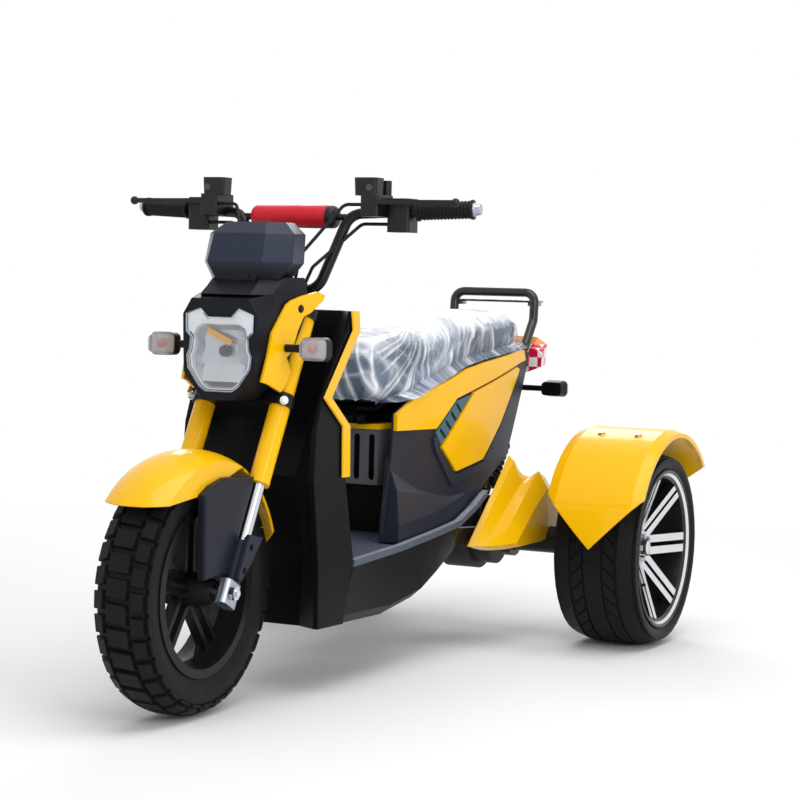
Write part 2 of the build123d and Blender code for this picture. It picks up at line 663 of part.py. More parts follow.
# Columns: start angle, end angle, half width, depth of the straight skirts
FENDER_LENGTHS = [
    (FENDER_FRONT, SKIRT_REAR, FENDER_HALF, 50),
    (SKIRT_REAR - 0.5, FENDER_REAR, FLAP_HALF, 6),
]
with BuildPart() as front_fender:
    for start, end, half, skirt in FENDER_LENGTHS:
        crown = FENDER_RADIUS + FENDER_SKIN
        edge = crown - CROWN_RADIUS + (CROWN_RADIUS ** 2 - half ** 2) ** 0.5
        inside = half - FENDER_SKIN
        inner = CROWN_RADIUS - FENDER_SKIN
        inner_edge = FENDER_RADIUS - inner + (inner ** 2 - inside ** 2) ** 0.5
        with BuildSketch(wheel_section(FRONT_CENTRE).rotated((0, -start, 0))):
            with BuildLine():
                ThreePointArc((edge, half), (crown, 0), (edge, -half))
                Polyline(
                    (edge, -half), (edge - skirt, -half), (edge - skirt, -inside), (inner_edge, -inside)
                )
                ThreePointArc((inner_edge, -inside), (FENDER_RADIUS, 0), (inner_edge, inside))
                Polyline(
                    (inner_edge, inside), (edge - skirt, inside), (edge - skirt, half), (edge, half)
                )
            make_face()
        revolve(axis=FRONT_SPIN, revolution_arc=start - end)
    with BuildSketch(side_plane(-120)):
        Polygon(
            (1000, 417), (850, 417), (696, 432), (576, 470), (540, 470), (540, 100), (1000, 100),
            align=None,
        )
    extrude(amount=-240, mode=Mode.SUBTRACT)
    with BuildSketch(front_plane(300)):
        Polygon((-80, 352), (-22, 300), (0, 326), (22, 300), (80, 352), (80, 100), (-80, 100), align=None)
    extrude(amount=200, mode=Mode.SUBTRACT)
write(front_fender, "front_fender")

# Fork guards in front of the legs; outlines in the steering frame
GUARD_INNER_Y = FENDER_HALF + GAP
GUARD_THICK = 16.0
GUARD_OUTLINE = [
    (56.4, 238), (78, 229), (150, 194), (188, 160), (208, 132), (130, -8), (76, 27), (52.4, 34), (52.4, 226),
    (56.4, 230),
]
with BuildPart() as fork_guards:
    with BuildSketch(
        Plane(origin=STEER.from_local_coords((0, GUARD_INNER_Y, 0)), x_dir=STEER.x_dir, z_dir=(0, -1, 0))
    ):
        Polygon(*GUARD_OUTLINE, align=None)
    extrude(amount=-GUARD_THICK)
    chamfer(fork_guards.faces().sort_by(Axis.Y)[-1].edges(), 3)
    mirror(about=Plane.XZ)
write(fork_guards, "fork_guards")

# Front caliper behind the right leg
with BuildPart() as front_caliper:
    with BuildSketch(STEER.offset(62)):
        with Locations((-4, -66)):
            Rectangle(50, 48)
    extrude(amount=54)
    with BuildSketch(wheel_side(FRONT_CENTRE, DISC_Y - DISC_THICKNESS / 2 - 5.5)):
        Circle(DISC_RADIUS + 6)
    extrude(amount=DISC_THICKNESS + 11, mode=Mode.SUBTRACT)
    with BuildSketch(STEER.offset(60)):
        with Locations(FORK_PLACES[1]):
            Circle(LOWER_LEG_RADIUS + GAP)
    extrude(amount=60, mode=Mode.SUBTRACT)
write(front_caliper, "front_caliper")

# Leg shield: hollow shell in level sections, wings either side of the fork.
# Columns: height; front face X, half width; wing tip X, inner Y, outer Y; rear edge X, Y;
# rear face X, half width
SHIELD_SECTIONS = [
    (140, 356, 88, 378, 132, 142, 284, 150, 281, 92),
    (272, 339, 88, 396, 138, 150, 284, 170, 281, 95),
    (443, 379, 84, 426, 140, 152, 316, 164, 279, 85),
    (545, 345, 95, 418, 141, 151, 312, 160, 262, 80),
    (604, 312, 101, 395, 143, 151, 384, 155, 244, 75),
    (737, 250, 103, 296, 144, 151, 266, 155, 194, 70),
    (775, 232, 106, 282, 145, 151, 270, 153, 184, 75),
]


def shield_outline(row, inset):
    height, xf, yf, xt, yi, yo, xe, ye, xr, yr = row
    half = [
        (xf - inset, yf + 0.4 * inset),
        (xt - inset, yi + 0.5 * inset),
        (xt - inset, yo - 0.5 * inset),
        (xe + 1.2 * inset, ye - 1.2 * inset),
        (xr + inset, yr - 0.4 * inset),
    ]
    return half + [(x, -y) for x, y in reversed(half)]


with BuildPart() as leg_shield:
    for row in SHIELD_SECTIONS:
        with BuildSketch(Plane.XY.offset(row[0])):
            Polygon(*shield_outline(row, 0), align=None)
    loft(ruled=True)
    for row in SHIELD_SECTIONS[:-1]:
        with BuildSketch(Plane.XY.offset(max(row[0], SHIELD_SECTIONS[0][0] + WALL))):
            Polygon(*shield_outline(row, WALL), align=None)
    loft(ruled=True, mode=Mode.SUBTRACT)
    with BuildSketch(front_plane(258)):
        with Locations((0, 645)):
            Rectangle(52, 110)
    extrude(amount=72, mode=Mode.SUBTRACT)
    with BuildSketch(front_plane(270)):
        with Locations((0, 202)):
            Rectangle(272, 104)
    extrude(amount=30, mode=Mode.SUBTRACT)
write(leg_shield, "leg_shield")

# Painted trim along the rear edges of the wings
with BuildPart() as shield_trim:
    for row in SHIELD_SECTIONS[2:]:
        height, xe, ye = row[0], row[6], row[7]
        with BuildSketch(Plane.XY.offset(height)):
            Polygon(
                (xe + 18, ye + 1.2), (xe + 16, ye + 5), (xe - 14, ye + 4), (xe - 14, ye - 6),
                (xe, ye + GAP),
                align=None,
            )
    loft(ruled=True)
    mirror(about=Plane.XZ)
write(shield_trim, "shield_trim")

# Floor and belly in cross sections.
# Columns: X, rim height, belly bottom height, half widths at top and bottom
FLOOR_STATIONS = [
    (280.6, 272, 134, 168, 148),
    (68, 281, 130, 168, 152),
    (-80, 292, 148, 168, 152),
    (-150, 298, 177, 168, 154),
    (-236, 307, 215, 168, 154),
    (-317, 334, 258, 166, 150),
]
FLOOR_TAIL = (-382, 363)
RIM_HEIGHT = 14.0
FLOOR_SKIN = 7.0
FLOOR_HALF = 172.0
SEAT_BOX_FRONT = -84.0
with BuildPart() as belly_pan:
    for x, rim, bottom, top_half, low_half in FLOOR_STATIONS[:-1]:
        top = rim - RIM_HEIGHT - GAP
        half = [
            (top_half, top), (low_half, bottom + 22), (low_half - 26, bottom),
        ]
        inner = [(top_half - WALL, top), (low_half - WALL, bottom + 24), (low_half - 28, bottom + WALL)]
        ring = half + [(-y, z) for y, z in reversed(half)]
        ring += [(-y, z) for y, z in inner] + list(reversed(inner))
        with BuildSketch(front_plane(x)):
            Polygon(*ring, align=None)
    loft(ruled=True)
write(belly_pan, "belly_pan")

with BuildPart() as floorboard:
    for x, rim in [(row[0], row[1]) for row in FLOOR_STATIONS] + [FLOOR_TAIL]:
        low = rim - RIM_HEIGHT
        with BuildSketch(front_plane(x)):
            Polygon(
                *mirrored([(0, low), (FLOOR_HALF, low), (FLOOR_HALF, rim), (FLOOR_HALF - 14, rim),
                           (FLOOR_HALF - 18, low + FLOOR_SKIN), (0, low + FLOOR_SKIN)]),
                align=None,
            )
    loft(ruled=True)
    with BuildSketch(Plane.XY.offset(200)):
        with Locations((SEAT_BOX_FRONT - 200, 0)):
            Rectangle(400, 262)
    extrude(amount=300, mode=Mode.SUBTRACT)
    with BuildSketch(Plane.XY.offset(200)):
        with Locations((-10, 60), (-10, -60)):
            Circle(6)
    extrude(amount=200, mode=Mode.SUBTRACT)
write(floorboard, "floorboard")

# Battery block between the floor rails, held by side tabs
RAIL_Y = 118.0
RAIL_RADIUS = 12.0
RAIL_Z = 225.0
BATTERY_FRONT = 250.0
BATTERY_BACK = -60.0
BATTERY_HALF = 88.0
with BuildPart() as battery:
    with BuildSketch(Plane.XY.offset(166)):
        with Locations(((BATTERY_FRONT + BATTERY_BACK) / 2, 0)):
            Rectangle(BATTERY_FRONT - BATTERY_BACK, 2 * BATTERY_HALF)
    extrude(amount=84)
    with BuildSketch(Plane.XY.offset(RAIL_Z - 8)):
        with Locations((40, 0), (180, 0)):
            Rectangle(40, 2 * (RAIL_Y - RAIL_RADIUS - GAP))
    extrude(amount=16)
write(battery, "battery")

# Main frame: head tube, down tube, floor rails that rise to the seat rails, cross tubes
HEAD_RADIUS = 26.0
HEAD_LOW = LOWER_YOKE + LOWER_YOKE_THICK + 5.0
HEAD_HIGH = UPPER_YOKE - 5.0
SEAT_RAIL_Y = 108.0
RAIL_END = (-640.0, 640.0)
SHOCK_Y = 100.0
SHOCK_LOW = (-504.0, 325.0)
SHOCK_HIGH = (-635.0, 482.0)
PIVOT = (-296.0, 262.0)
frame_tubes = [
    pipe([(366, 0, 652), (282, 0, 606), (322, 0, 443), (309, 0, 270), (308, 0, 232)], 30, 20),
    pipe([(308, RAIL_Y + 8, 226), (308, -RAIL_Y - 8, 226)], 0, 16),
    pipe([(-330, SEAT_RAIL_Y, 436), (-330, -SEAT_RAIL_Y, 436)], 0, 10),
    pipe([(RAIL_END[0] + 8, SEAT_RAIL_Y, 634), (RAIL_END[0] + 8, -SEAT_RAIL_Y, 634)], 0, 10),
    pipe(
        [(SHOCK_HIGH[0], SHOCK_Y - 12, SHOCK_HIGH[1]), (SHOCK_HIGH[0], 12 - SHOCK_Y, SHOCK_HIGH[1])], 0, 11
    ),
]
FLOOR_BEAM = (-72.0, 267.0)
frame_tubes.append(
    pipe([(FLOOR_BEAM[0], RAIL_Y, FLOOR_BEAM[1]), (FLOOR_BEAM[0], -RAIL_Y, FLOOR_BEAM[1])], 0, 10)
)


def rail_route(side):
    # Floor rail that rises to become the seat rail
    return [
        (310, side * RAIL_Y, RAIL_Z),
        (-130, side * RAIL_Y, RAIL_Z + 6),
        (-330, side * SEAT_RAIL_Y, 440),
        (RAIL_END[0], side * SEAT_RAIL_Y, RAIL_END[1]),
    ]


for side in (1, -1):
    frame_tubes.append(pipe(rail_route(side), 60, RAIL_RADIUS))
    post_x = SHOCK_HIGH[0] + 2
    frame_tubes.append(pipe([(post_x, side * 80, 634), (post_x, side * 80, 482)], 0, 9))
    beam_y = side * (RAIL_Y - 4)
    frame_tubes.append(pipe([(FLOOR_BEAM[0], beam_y, 228), (FLOOR_BEAM[0], beam_y, FLOOR_BEAM[1])], 0, 8))
    frame_tubes.append(pipe([(-190, side * 112, 300), (PIVOT[0], side * 84, PIVOT[1])], 0, 11))
with BuildPart() as main_frame:
    add(frame_tubes)
    with BuildSketch(STEER.offset(HEAD_LOW)):
        Circle(HEAD_RADIUS)
    extrude(amount=HEAD_HIGH - HEAD_LOW)
    with BuildSketch(STEER.offset(HEAD_LOW - 4)):
        Circle(STEM_RADIUS + RUNNING_GAP)
    extrude(amount=HEAD_HIGH - HEAD_LOW + 8, mode=Mode.SUBTRACT)
    with BuildSketch(side_plane(-104)):
        with Locations(PIVOT):
            Circle(17)
    extrude(amount=-208)
write(main_frame, "main_frame")

VENT_TOP = 516.0
STRIP_THICK = 12.0

# Flank pieces: side outline cut from a band that follows one arc in plan
FLANK_ARC = [(66, 106), (-300, 148), (-730, 125)]


def flank(outline, inner, outer):
    with BuildPart() as piece:
        with BuildSketch(side_plane(0)):
            Polygon(*outline, align=None)
        extrude(amount=-260)
        with BuildSketch(Plane.XY.offset(200)):
            with BuildLine():
                near = ThreePointArc(*[(x, y + inner) for x, y in FLANK_ARC])
                far = ThreePointArc(*[(x, y + outer) for x, y in FLANK_ARC])
                Line(near @ 0, far @ 0)
                Line(near @ 1, far @ 1)
            make_face()
        extrude(amount=600, mode=Mode.INTERSECT)
    return piece.part


floor_line = [(row[0], row[1] - RIM_HEIGHT + FLOOR_SKIN + GAP) for row in FLOOR_STATIONS[2:]]
floor_line.append((FLOOR_TAIL[0], FLOOR_TAIL[1] - RIM_HEIGHT + FLOOR_SKIN + GAP))
SEAT_LINE = [
    (-714, 672), (-640, 680), (-580, 675), (-387, 657), (-290, 644), (-200, 620), (-120, 603), (-54, 582),
    (6, 552),
]
COVER_FRONT = [(6, 515), (10, 462), (36, 352), (40, 277.5)]
COVER_OUTLINE = COVER_FRONT + floor_line + [(-440, 388), (-550, 430), (-689, 629)] + SEAT_LINE
UPPER_OUTLINE = [(6, 517), (-150, 515), (-240, 579), (-330, 597), (-612, 650), (-654, 655)] + SEAT_LINE[1:]
LOWER_OUTLINE = [(-180, 472), (-246, 415), (-383, 434), (-480, 508), (-612, 634), (-590, 640), (-330, 591)]
GRILLE_OUTLINE = [(-154, 506), (-178, 478), (-318, 586), (-246, 573)]
GRILLE_SLOTS = [(-188, 500), (-212, 518), (-236, 536), (-260, 554)]
# The cover's foot flares out to the floor; the frame rail runs through it
FOOT_BOTTOM = [(-317, 331), (-236, 304), (-150, 295), (-80, 289), (40, 280)]
FOOT_SECTIONS = [
    (103, [(9, 462), (-140, 402), (-300, 384)]),
    (138, [(24, 390), (-140, 372), (-300, 376)]),
    (151, [(38, 318), (-140, 330), (-300, 358)]),
]
# Raised border under and behind the lower panel
BORDER_OUTLINE = [
    (-143, 496), (-157, 496), (-176, 464), (-244, 407), (-387, 427), (-486, 503), (-620, 634),
    (-652, 632), (-507, 488), (-399, 406), (-230, 384), (-156, 462),
]
border = flank(BORDER_OUTLINE, -1, 6)
cover = flank(COVER_OUTLINE, -5, 0)
rail_tunnel = pipe(rail_route(1), 60, RAIL_RADIUS + 3)
brace_tunnel = pipe([(-180, 114, 304), (PIVOT[0], 84, PIVOT[1])], 0, 14)
with BuildPart() as side_covers:
    for y, ridge in FOOT_SECTIONS:
        with BuildSketch(side_plane(y)):
            Polygon(*(ridge + FOOT_BOTTOM), align=None)
    loft(ruled=True)
    add(cover)
    add(border)
    add(rail_tunnel, mode=Mode.SUBTRACT)
    add(brace_tunnel, mode=Mode.SUBTRACT)
    mirror(about=Plane.XZ)
write(side_covers, "side_covers")

upper = flank(UPPER_OUTLINE, GAP, 9)
with BuildPart() as upper_panels:
    add(upper)
    mirror(about=Plane.XZ)
    with BuildSketch(Plane.XY.offset(VENT_TOP + GAP)):
        Polygon((-10, -74), (-10, 74), (-79, 84), (-79, -84), align=None)
    extrude(amount=STRIP_THICK)
write(upper_panels, "upper_panels")

lower = flank(LOWER_OUTLINE, GAP, 8)
with BuildPart() as lower_panels:
    add(lower)
    mirror(about=Plane.XZ)
write(lower_panels, "lower_panels")

grille = flank(GRILLE_OUTLINE, GAP, 5)
with BuildPart() as side_grilles:
    add(grille)
    with BuildSketch(side_plane(0)):
        with Locations(*GRILLE_SLOTS):
            Rectangle(9, 40, rotation=-50)
    extrude(amount=-200, mode=Mode.SUBTRACT)
    mirror(about=Plane.XZ)
write(side_grilles, "side_grilles")

# Grey slotted panel at the front of the seat box
VENT_BOTTOM = 395.0
VENT_SLOTS = [-55, -19, 19, 55]
with BuildPart() as vent_panel:
    with BuildSketch(Plane.XY.offset(VENT_BOTTOM)):
        Polygon((-14, -72), (-14, 72), (-79, 86), (-79, -86), align=None)
    extrude(amount=VENT_TOP - VENT_BOTTOM)
    with BuildSketch(Plane.XY.offset(VENT_BOTTOM + WALL)):
        Polygon((-19, -66), (-19, 66), (-90, 80), (-90, -80), align=None)
    extrude(amount=VENT_TOP - VENT_BOTTOM - 2 * WALL, mode=Mode.SUBTRACT)
    with BuildSketch(front_plane(-30)):
        with Locations(*[(y, (VENT_TOP + VENT_BOTTOM) / 2) for y in VENT_SLOTS]):
            SlotOverall(100, 15, rotation=90)
    extrude(amount=30, mode=Mode.SUBTRACT)
write(vent_panel, "vent_panel")

# Seat box: riser from the floor, the open bin under the seat and the hinge at the seat's nose
BIN_BACK = -560.0
BIN_HALF = 92.0
BIN_FLOOR = 452.0
HINGE_X = 20.0
HINGE_Z = 540.0
HINGE_EAR_Y = 47.0
PIN_RADIUS = 5.0
EAR_RADIUS = 10.0
with BuildPart() as seat_box:
    with BuildSketch(side_plane(-BIN_HALF)):
        Polygon(
            (SEAT_BOX_FRONT + 4.5, 285.6), (SEAT_BOX_FRONT + 4.5, 546), (-120, 590), (-190, 612),
            (-294, 636),
            (BIN_BACK, 664), (BIN_BACK, 600), (-380, BIN_FLOOR), (SEAT_BOX_FRONT - 3, BIN_FLOOR),
            (SEAT_BOX_FRONT - 3, 285.6), align=None,
        )
    extrude(amount=-2 * BIN_HALF)
    with BuildSketch(side_plane(WALL - BIN_HALF)):
        Polygon(
            (SEAT_BOX_FRONT, BIN_FLOOR + WALL), (SEAT_BOX_FRONT, 750), (BIN_BACK + WALL, 750),
            (BIN_BACK + WALL, 604), (-380, BIN_FLOOR + WALL), align=None,
        )
    extrude(amount=-2 * (BIN_HALF - WALL), mode=Mode.SUBTRACT)
    with BuildSketch(Plane.XY.offset(VENT_TOP + STRIP_THICK + 2 * GAP)):
        with Locations((-38, 0)):
            Rectangle(84, 110)
        with Locations((16, HINGE_EAR_Y), (16, -HINGE_EAR_Y)):
            Rectangle(28, EAR_RADIUS)
    extrude(amount=4)
    for y in (-HINGE_EAR_Y, HINGE_EAR_Y):
        with BuildSketch(side_plane(y + EAR_RADIUS / 2)):
            with Locations((HINGE_X, HINGE_Z)):
                Circle(EAR_RADIUS)
            with Locations((HINGE_X, HINGE_Z - 6)):
                Rectangle(2 * EAR_RADIUS, 10)
        extrude(amount=EAR_RADIUS)
    with BuildSketch(side_plane(-HINGE_EAR_Y)):
        with Locations((HINGE_X, HINGE_Z)):
            Circle(PIN_RADIUS)
    extrude(amount=-2 * HINGE_EAR_Y)
write(seat_box, "seat_box")

# Seat in cross sections; columns: X, bottom, top, half width at the bottom and top
SEAT_STATIONS = [
    (50, 578, 640, 72, 44),
    (10, 566, 702, 92, 62),
    (-60, 592, 735, 114, 84),
    (-120, 612, 746, 124, 95),
    (-190, 630, 758, 133, 104),
    (-300, 655, 768, 138, 108),
    (-600, 687, 771, 132, 100),
    (-694, 704, 752, 108, 84),
]
PAN_THICK = 9.0
with BuildPart() as seat:
    for x, low, high, low_half, top_half in SEAT_STATIONS:
        deep = high - low
        with BuildSketch(front_plane(x)):
            Polygon(
                *mirrored([
                    (0, low), (low_half - 6, low), (low_half, low + 0.2 * deep),
                    (low_half - 3, low + 0.6 * deep),
                    (top_half, high - 0.1 * deep), (0.6 * top_half, high), (0, high),
                ]),
                align=None,
            )
    loft(ruled=True)
write(seat, "seat")

with BuildPart() as seat_pan:
    for x, low, high, low_half, top_half in SEAT_STATIONS[1:]:
        with BuildSketch(front_plane(x)):
            Polygon(
                *mirrored([
                    (0, low - PAN_THICK), (low_half - 18, low - PAN_THICK), (low_half - 12, low - GAP),
                    (0, low - GAP),
                ]),
                align=None,
            )
    loft(ruled=True)
    with BuildSketch(side_plane(-30)):
        with Locations((HINGE_X, HINGE_Z)):
            Circle(EAR_RADIUS)
        Polygon(
            (HINGE_X - 10, HINGE_Z), (HINGE_X + 10, HINGE_Z), (HINGE_X - 12, 566), (HINGE_X - 34, 572),
            align=None,
        )
    extrude(amount=-60)
    with BuildSketch(side_plane(-40)):
        with Locations((HINGE_X, HINGE_Z)):
            Circle(PIN_RADIUS + RUNNING_GAP)
    extrude(amount=-80, mode=Mode.SUBTRACT)
write(seat_pan, "seat_pan")

# Grab hoop behind the seat, its feet lying on the seat rails, and the small flat rack behind it
HOOP_RADIUS = 11.0
HOOP_HALF = 108.0
HOOP_TOP = 817.0
RAIL_LIFT = RAIL_RADIUS + HOOP_RADIUS + GAP
LIFT_X = RAIL_LIFT * 0.542
LIFT_Z = RAIL_LIFT * 0.840
hoop_half = [
    (-548 + LIFT_X, HOOP_HALF, 580.6 + LIFT_Z),
    (-652 + LIFT_X, HOOP_HALF, 647.7 + LIFT_Z),
    (-729, HOOP_HALF, 683),
    (-780, HOOP_HALF, 748),
    (-786, HOOP_HALF, HOOP_TOP),
]
hoop = pipe(hoop_half + [(x, -y, z) for x, y, z in reversed(hoop_half)], 26, HOOP_RADIUS)
RACK_Z = 792.0
RACK_BACK = -872.0
RACK_BARS = [-62, 0, 62]
with BuildPart() as grab_rack:
    add(hoop)
    with BuildSketch(Plane.XY.offset(RACK_Z)):
        with Locations(*[((RACK_BACK - 797.4) / 2, y) for y in RACK_BARS]):
            Rectangle(-797.4 - RACK_BACK, 22)
        with Locations((-803, 0), (RACK_BACK + 9, 0)):
            Rectangle(18, 190)
        with Locations((-803, 62), (-803, -62), (RACK_BACK + 9, 62), (RACK_BACK + 9, -62)):
            Circle(3.3, mode=Mode.SUBTRACT)
    extrude(amount=5)
    with BuildSketch(Plane.XY.offset(RACK_Z - 8)):
        with Locations((-800, HOOP_HALF - 6), (-800, 6 - HOOP_HALF)):
            Rectangle(30, 24)
    extrude(amount=13)
write(grab_rack, "grab_rack")

# Tail cowl with the number plate hanger, then the lamp
COWL_BACK = -745.0
HANGER_HALF = 62.0
PLATE_HOLES = 90.0
PLATE_HOLE_RADIUS = 3.3
PLATE_Z = 520.0
with BuildPart() as tail_bracket:
    with BuildSketch(front_plane(COWL_BACK)):
        Polygon(*mirrored([(0, 628), (66, 628), (72, 656), (66, 684), (0, 684)]), align=None)
    with BuildSketch(front_plane(RAIL_END[0] - 2 - GAP)):
        Polygon(*mirrored([(0, 612), (80, 612), (92, 646), (84, 675), (0, 675)]), align=None)
    loft(ruled=True)
    with BuildSketch(front_plane(COWL_BACK + 8)):
        Polygon(*mirrored([(0, 634), (60, 634), (65, 656), (60, 678), (0, 678)]), align=None)
    with BuildSketch(front_plane(RAIL_END[0] + 8)):
        Polygon(*mirrored([(0, 618), (74, 618), (86, 646), (78, 669), (0, 669)]), align=None)
    loft(ruled=True, mode=Mode.SUBTRACT)
    with BuildSketch(side_plane(-HANGER_HALF)):
        Polygon(
            (-655, 613), (-655, 604), (-742, 598), (-742, 455), (-750, 455), (-750, 606), (COWL_BACK, 629),
            (-735, 629),
            align=None,
        )
    extrude(amount=-2 * HANGER_HALF)
    with BuildSketch(front_plane(-760)):
        with Locations((PLATE_HOLES / 2, PLATE_Z), (-PLATE_HOLES / 2, PLATE_Z)):
            Circle(PLATE_HOLE_RADIUS)
    extrude(amount=30, mode=Mode.SUBTRACT)
write(tail_bracket, "tail_bracket")

with BuildPart() as tail_lamp:
    with BuildSketch(front_plane(COWL_BACK - GAP)):
        Polygon(
            *mirrored([(0, 631), (66, 631), (110, 622), (146, 636), (148, 668), (126, 680), (0, 682)]),
            align=None,
        )
    with BuildSketch(front_plane(COWL_BACK - 52)):
        Polygon(
            *mirrored([(0, 634), (66, 634), (104, 626), (136, 640), (140, 690), (112, 708), (0, 710)]),
            align=None,
        )
    loft(ruled=True)
write(tail_lamp, "tail_lamp")

with BuildPart() as rear_signals:
    with BuildSketch(Plane(origin=(-746, HANGER_HALF + GAP, 584), z_dir=(0, 1, 0))):
        Circle(7)
    extrude(amount=90)
    with BuildSketch(front_plane(-772)):
        with Locations((178, 584)):
            RectangleRounded(58, 40, 12)
    extrude(amount=36, taper=6)
    mirror(about=Plane.XZ)
write(rear_signals, "rear_signals")

with BuildPart() as rear_signal_lenses:
    with BuildSketch(front_plane(-772 - GAP)):
        with Locations((178, 584)):
            RectangleRounded(57, 39, 12)
    extrude(amount=-14, taper=14)
    mirror(about=Plane.XZ)
write(rear_signal_lenses, "rear_signal_lenses")

# Drive unit on the axle line, axle tubes with brake plates and fender straps, swing arm
AXLE_TUBE_RADIUS = 32.0
AXLE_TUBE_END = 300.0
MOTOR_LEFT = 90.0
MOTOR_RIGHT = -95.0
BRAKE_RADIUS = 80.0
FENDER_INNER_Y = 312.5
with BuildPart() as drive_motor:
    with BuildSketch(Plane(origin=(REAR_AXLE_X, MOTOR_RIGHT, REAR_TYRE_RADIUS), z_dir=(0, 1, 0))):
        Circle(68)
    extrude(amount=MOTOR_LEFT - MOTOR_RIGHT)
    with BuildSketch(Plane(origin=(REAR_AXLE_X, -34, REAR_TYRE_RADIUS), z_dir=(0, 1, 0))):
        Circle(82)
    extrude(amount=80)
write(drive_motor, "drive_motor")

with BuildPart() as axle_tubes:
    with BuildSketch(Plane(origin=(REAR_AXLE_X, MOTOR_LEFT + GAP, REAR_TYRE_RADIUS), z_dir=(0, 1, 0))):
        Circle(AXLE_TUBE_RADIUS)
    extrude(amount=AXLE_TUBE_END - MOTOR_LEFT - GAP)
    with BuildSketch(Plane(origin=(REAR_AXLE_X, AXLE_TUBE_END - 6, REAR_TYRE_RADIUS), z_dir=(0, 1, 0))):
        Circle(BRAKE_RADIUS)
    extrude(amount=10)
    bore_y = REAR_WHEEL_Y + SHAFT_INNER_Y - 4
    with BuildSketch(Plane(origin=(REAR_AXLE_X, bore_y, REAR_TYRE_RADIUS), z_dir=(0, 1, 0))):
        Circle(SHAFT_RADIUS + RUNNING_GAP)
    extrude(amount=120, mode=Mode.SUBTRACT)
    with BuildSketch(Plane(origin=(REAR_AXLE_X, MOTOR_RIGHT - GAP, REAR_TYRE_RADIUS), z_dir=(0, 1, 0))):
        Circle(AXLE_TUBE_RADIUS)
    extrude(amount=-(AXLE_TUBE_END + MOTOR_RIGHT - GAP))
    with BuildSketch(Plane(origin=(REAR_AXLE_X, 6 - AXLE_TUBE_END, REAR_TYRE_RADIUS), z_dir=(0, 1, 0))):
        Circle(BRAKE_RADIUS)
    extrude(amount=-10)
    with BuildSketch(Plane(origin=(REAR_AXLE_X, -bore_y, REAR_TYRE_RADIUS), z_dir=(0, 1, 0))):
        Circle(SHAFT_RADIUS + RUNNING_GAP)
    extrude(amount=-120, mode=Mode.SUBTRACT)
    for side in (1, -1):
        with BuildSketch(side_plane(side * (AXLE_TUBE_END + 2.5))):
            Polygon(
                (REAR_AXLE_X - 30, REAR_TYRE_RADIUS + 60), (REAR_AXLE_X + 30, REAR_TYRE_RADIUS + 60),
                (REAR_AXLE_X + 70, REAR_TYRE_RADIUS + 250), (REAR_AXLE_X + 20, REAR_TYRE_RADIUS + 264),
                align=None,
            )
        extrude(amount=side * (AXLE_TUBE_END + 2.5 - FENDER_INNER_Y + GAP))
write(axle_tubes, "axle_tubes")

ARM_INNER_Y = 112.0
ARM_OUTER_Y = 136.0
with BuildPart() as swing_arm:
    with BuildSketch(side_plane(ARM_INNER_Y)):
        with Locations((REAR_AXLE_X, REAR_TYRE_RADIUS)):
            Circle(46)
        with Locations(PIVOT):
            Circle(22)
        Polygon((PIVOT[0], 280), (PIVOT[0], 244), (REAR_AXLE_X, 200), (REAR_AXLE_X, 256), align=None)
        Polygon(
            (-470, 240), (SHOCK_LOW[0] + 14, SHOCK_LOW[1]), (SHOCK_LOW[0] - 14, SHOCK_LOW[1]), (-540, 240),
            align=None,
        )
        with Locations(SHOCK_LOW):
            Circle(14)
        with Locations((REAR_AXLE_X, REAR_TYRE_RADIUS)):
            Circle(AXLE_TUBE_RADIUS + GAP, mode=Mode.SUBTRACT)
    extrude(amount=ARM_INNER_Y - ARM_OUTER_Y)
    with BuildSketch(side_plane(104 + GAP)):
        with Locations(PIVOT):
            Circle(16)
    extrude(amount=104 + GAP - ARM_INNER_Y)
    mirror(about=Plane.XZ)
write(swing_arm, "swing_arm")

# Rear shocks: damper with an eye at each end and a coil drawn as round turns
SHOCK_DIR = Vector(SHOCK_HIGH[0] - SHOCK_LOW[0], 0, SHOCK_HIGH[1] - SHOCK_LOW[1])
SHOCK_LENGTH = SHOCK_DIR.length
SHOCK_PLANE = Plane(origin=(SHOCK_LOW[0], SHOCK_Y, SHOCK_LOW[1]), x_dir=(0, 1, 0), z_dir=SHOCK_DIR)
SPRING_START = 62.0
SPRING_TURNS = 7
SPRING_PITCH = 16.0
SPRING_MEAN = 21.0
WIRE = 11.0
with BuildPart() as rear_shocks:
    with BuildSketch(SHOCK_PLANE):
        Circle(8)
    extrude(amount=SHOCK_LENGTH)
    with BuildSketch(SHOCK_PLANE.offset(26)):
        Circle(16)
    extrude(amount=SPRING_START - 30)
    with BuildSketch(SHOCK_PLANE.offset(SPRING_START - 7)):
        Circle(30)
    extrude(amount=7 - GAP)
    for place in (SHOCK_LOW, SHOCK_HIGH):
        with BuildSketch(side_plane(SHOCK_Y - 11)):
            with Locations(place):
                Circle(13)
        extrude(amount=-22.7)
    with BuildSketch(Plane(origin=SHOCK_PLANE.origin, x_dir=SHOCK_PLANE.x_dir, z_dir=SHOCK_PLANE.y_dir)):
        with Locations((12, -(SPRING_START + SPRING_PITCH * SPRING_TURNS / 2))):
            Rectangle(14, SPRING_PITCH * SPRING_TURNS + 4)
        turns = [SPRING_START + 8 + SPRING_PITCH * turn for turn in range(SPRING_TURNS)]
        with Locations(*[(SPRING_MEAN, -place) for place in turns]):
            Trapezoid(WIRE, WIRE - 1, 70, rotation=-90)
    revolve(axis=Axis(SHOCK_PLANE.origin, SHOCK_PLANE.z_dir))
    mirror(about=Plane.XZ)
write(rear_shocks, "rear_shocks")

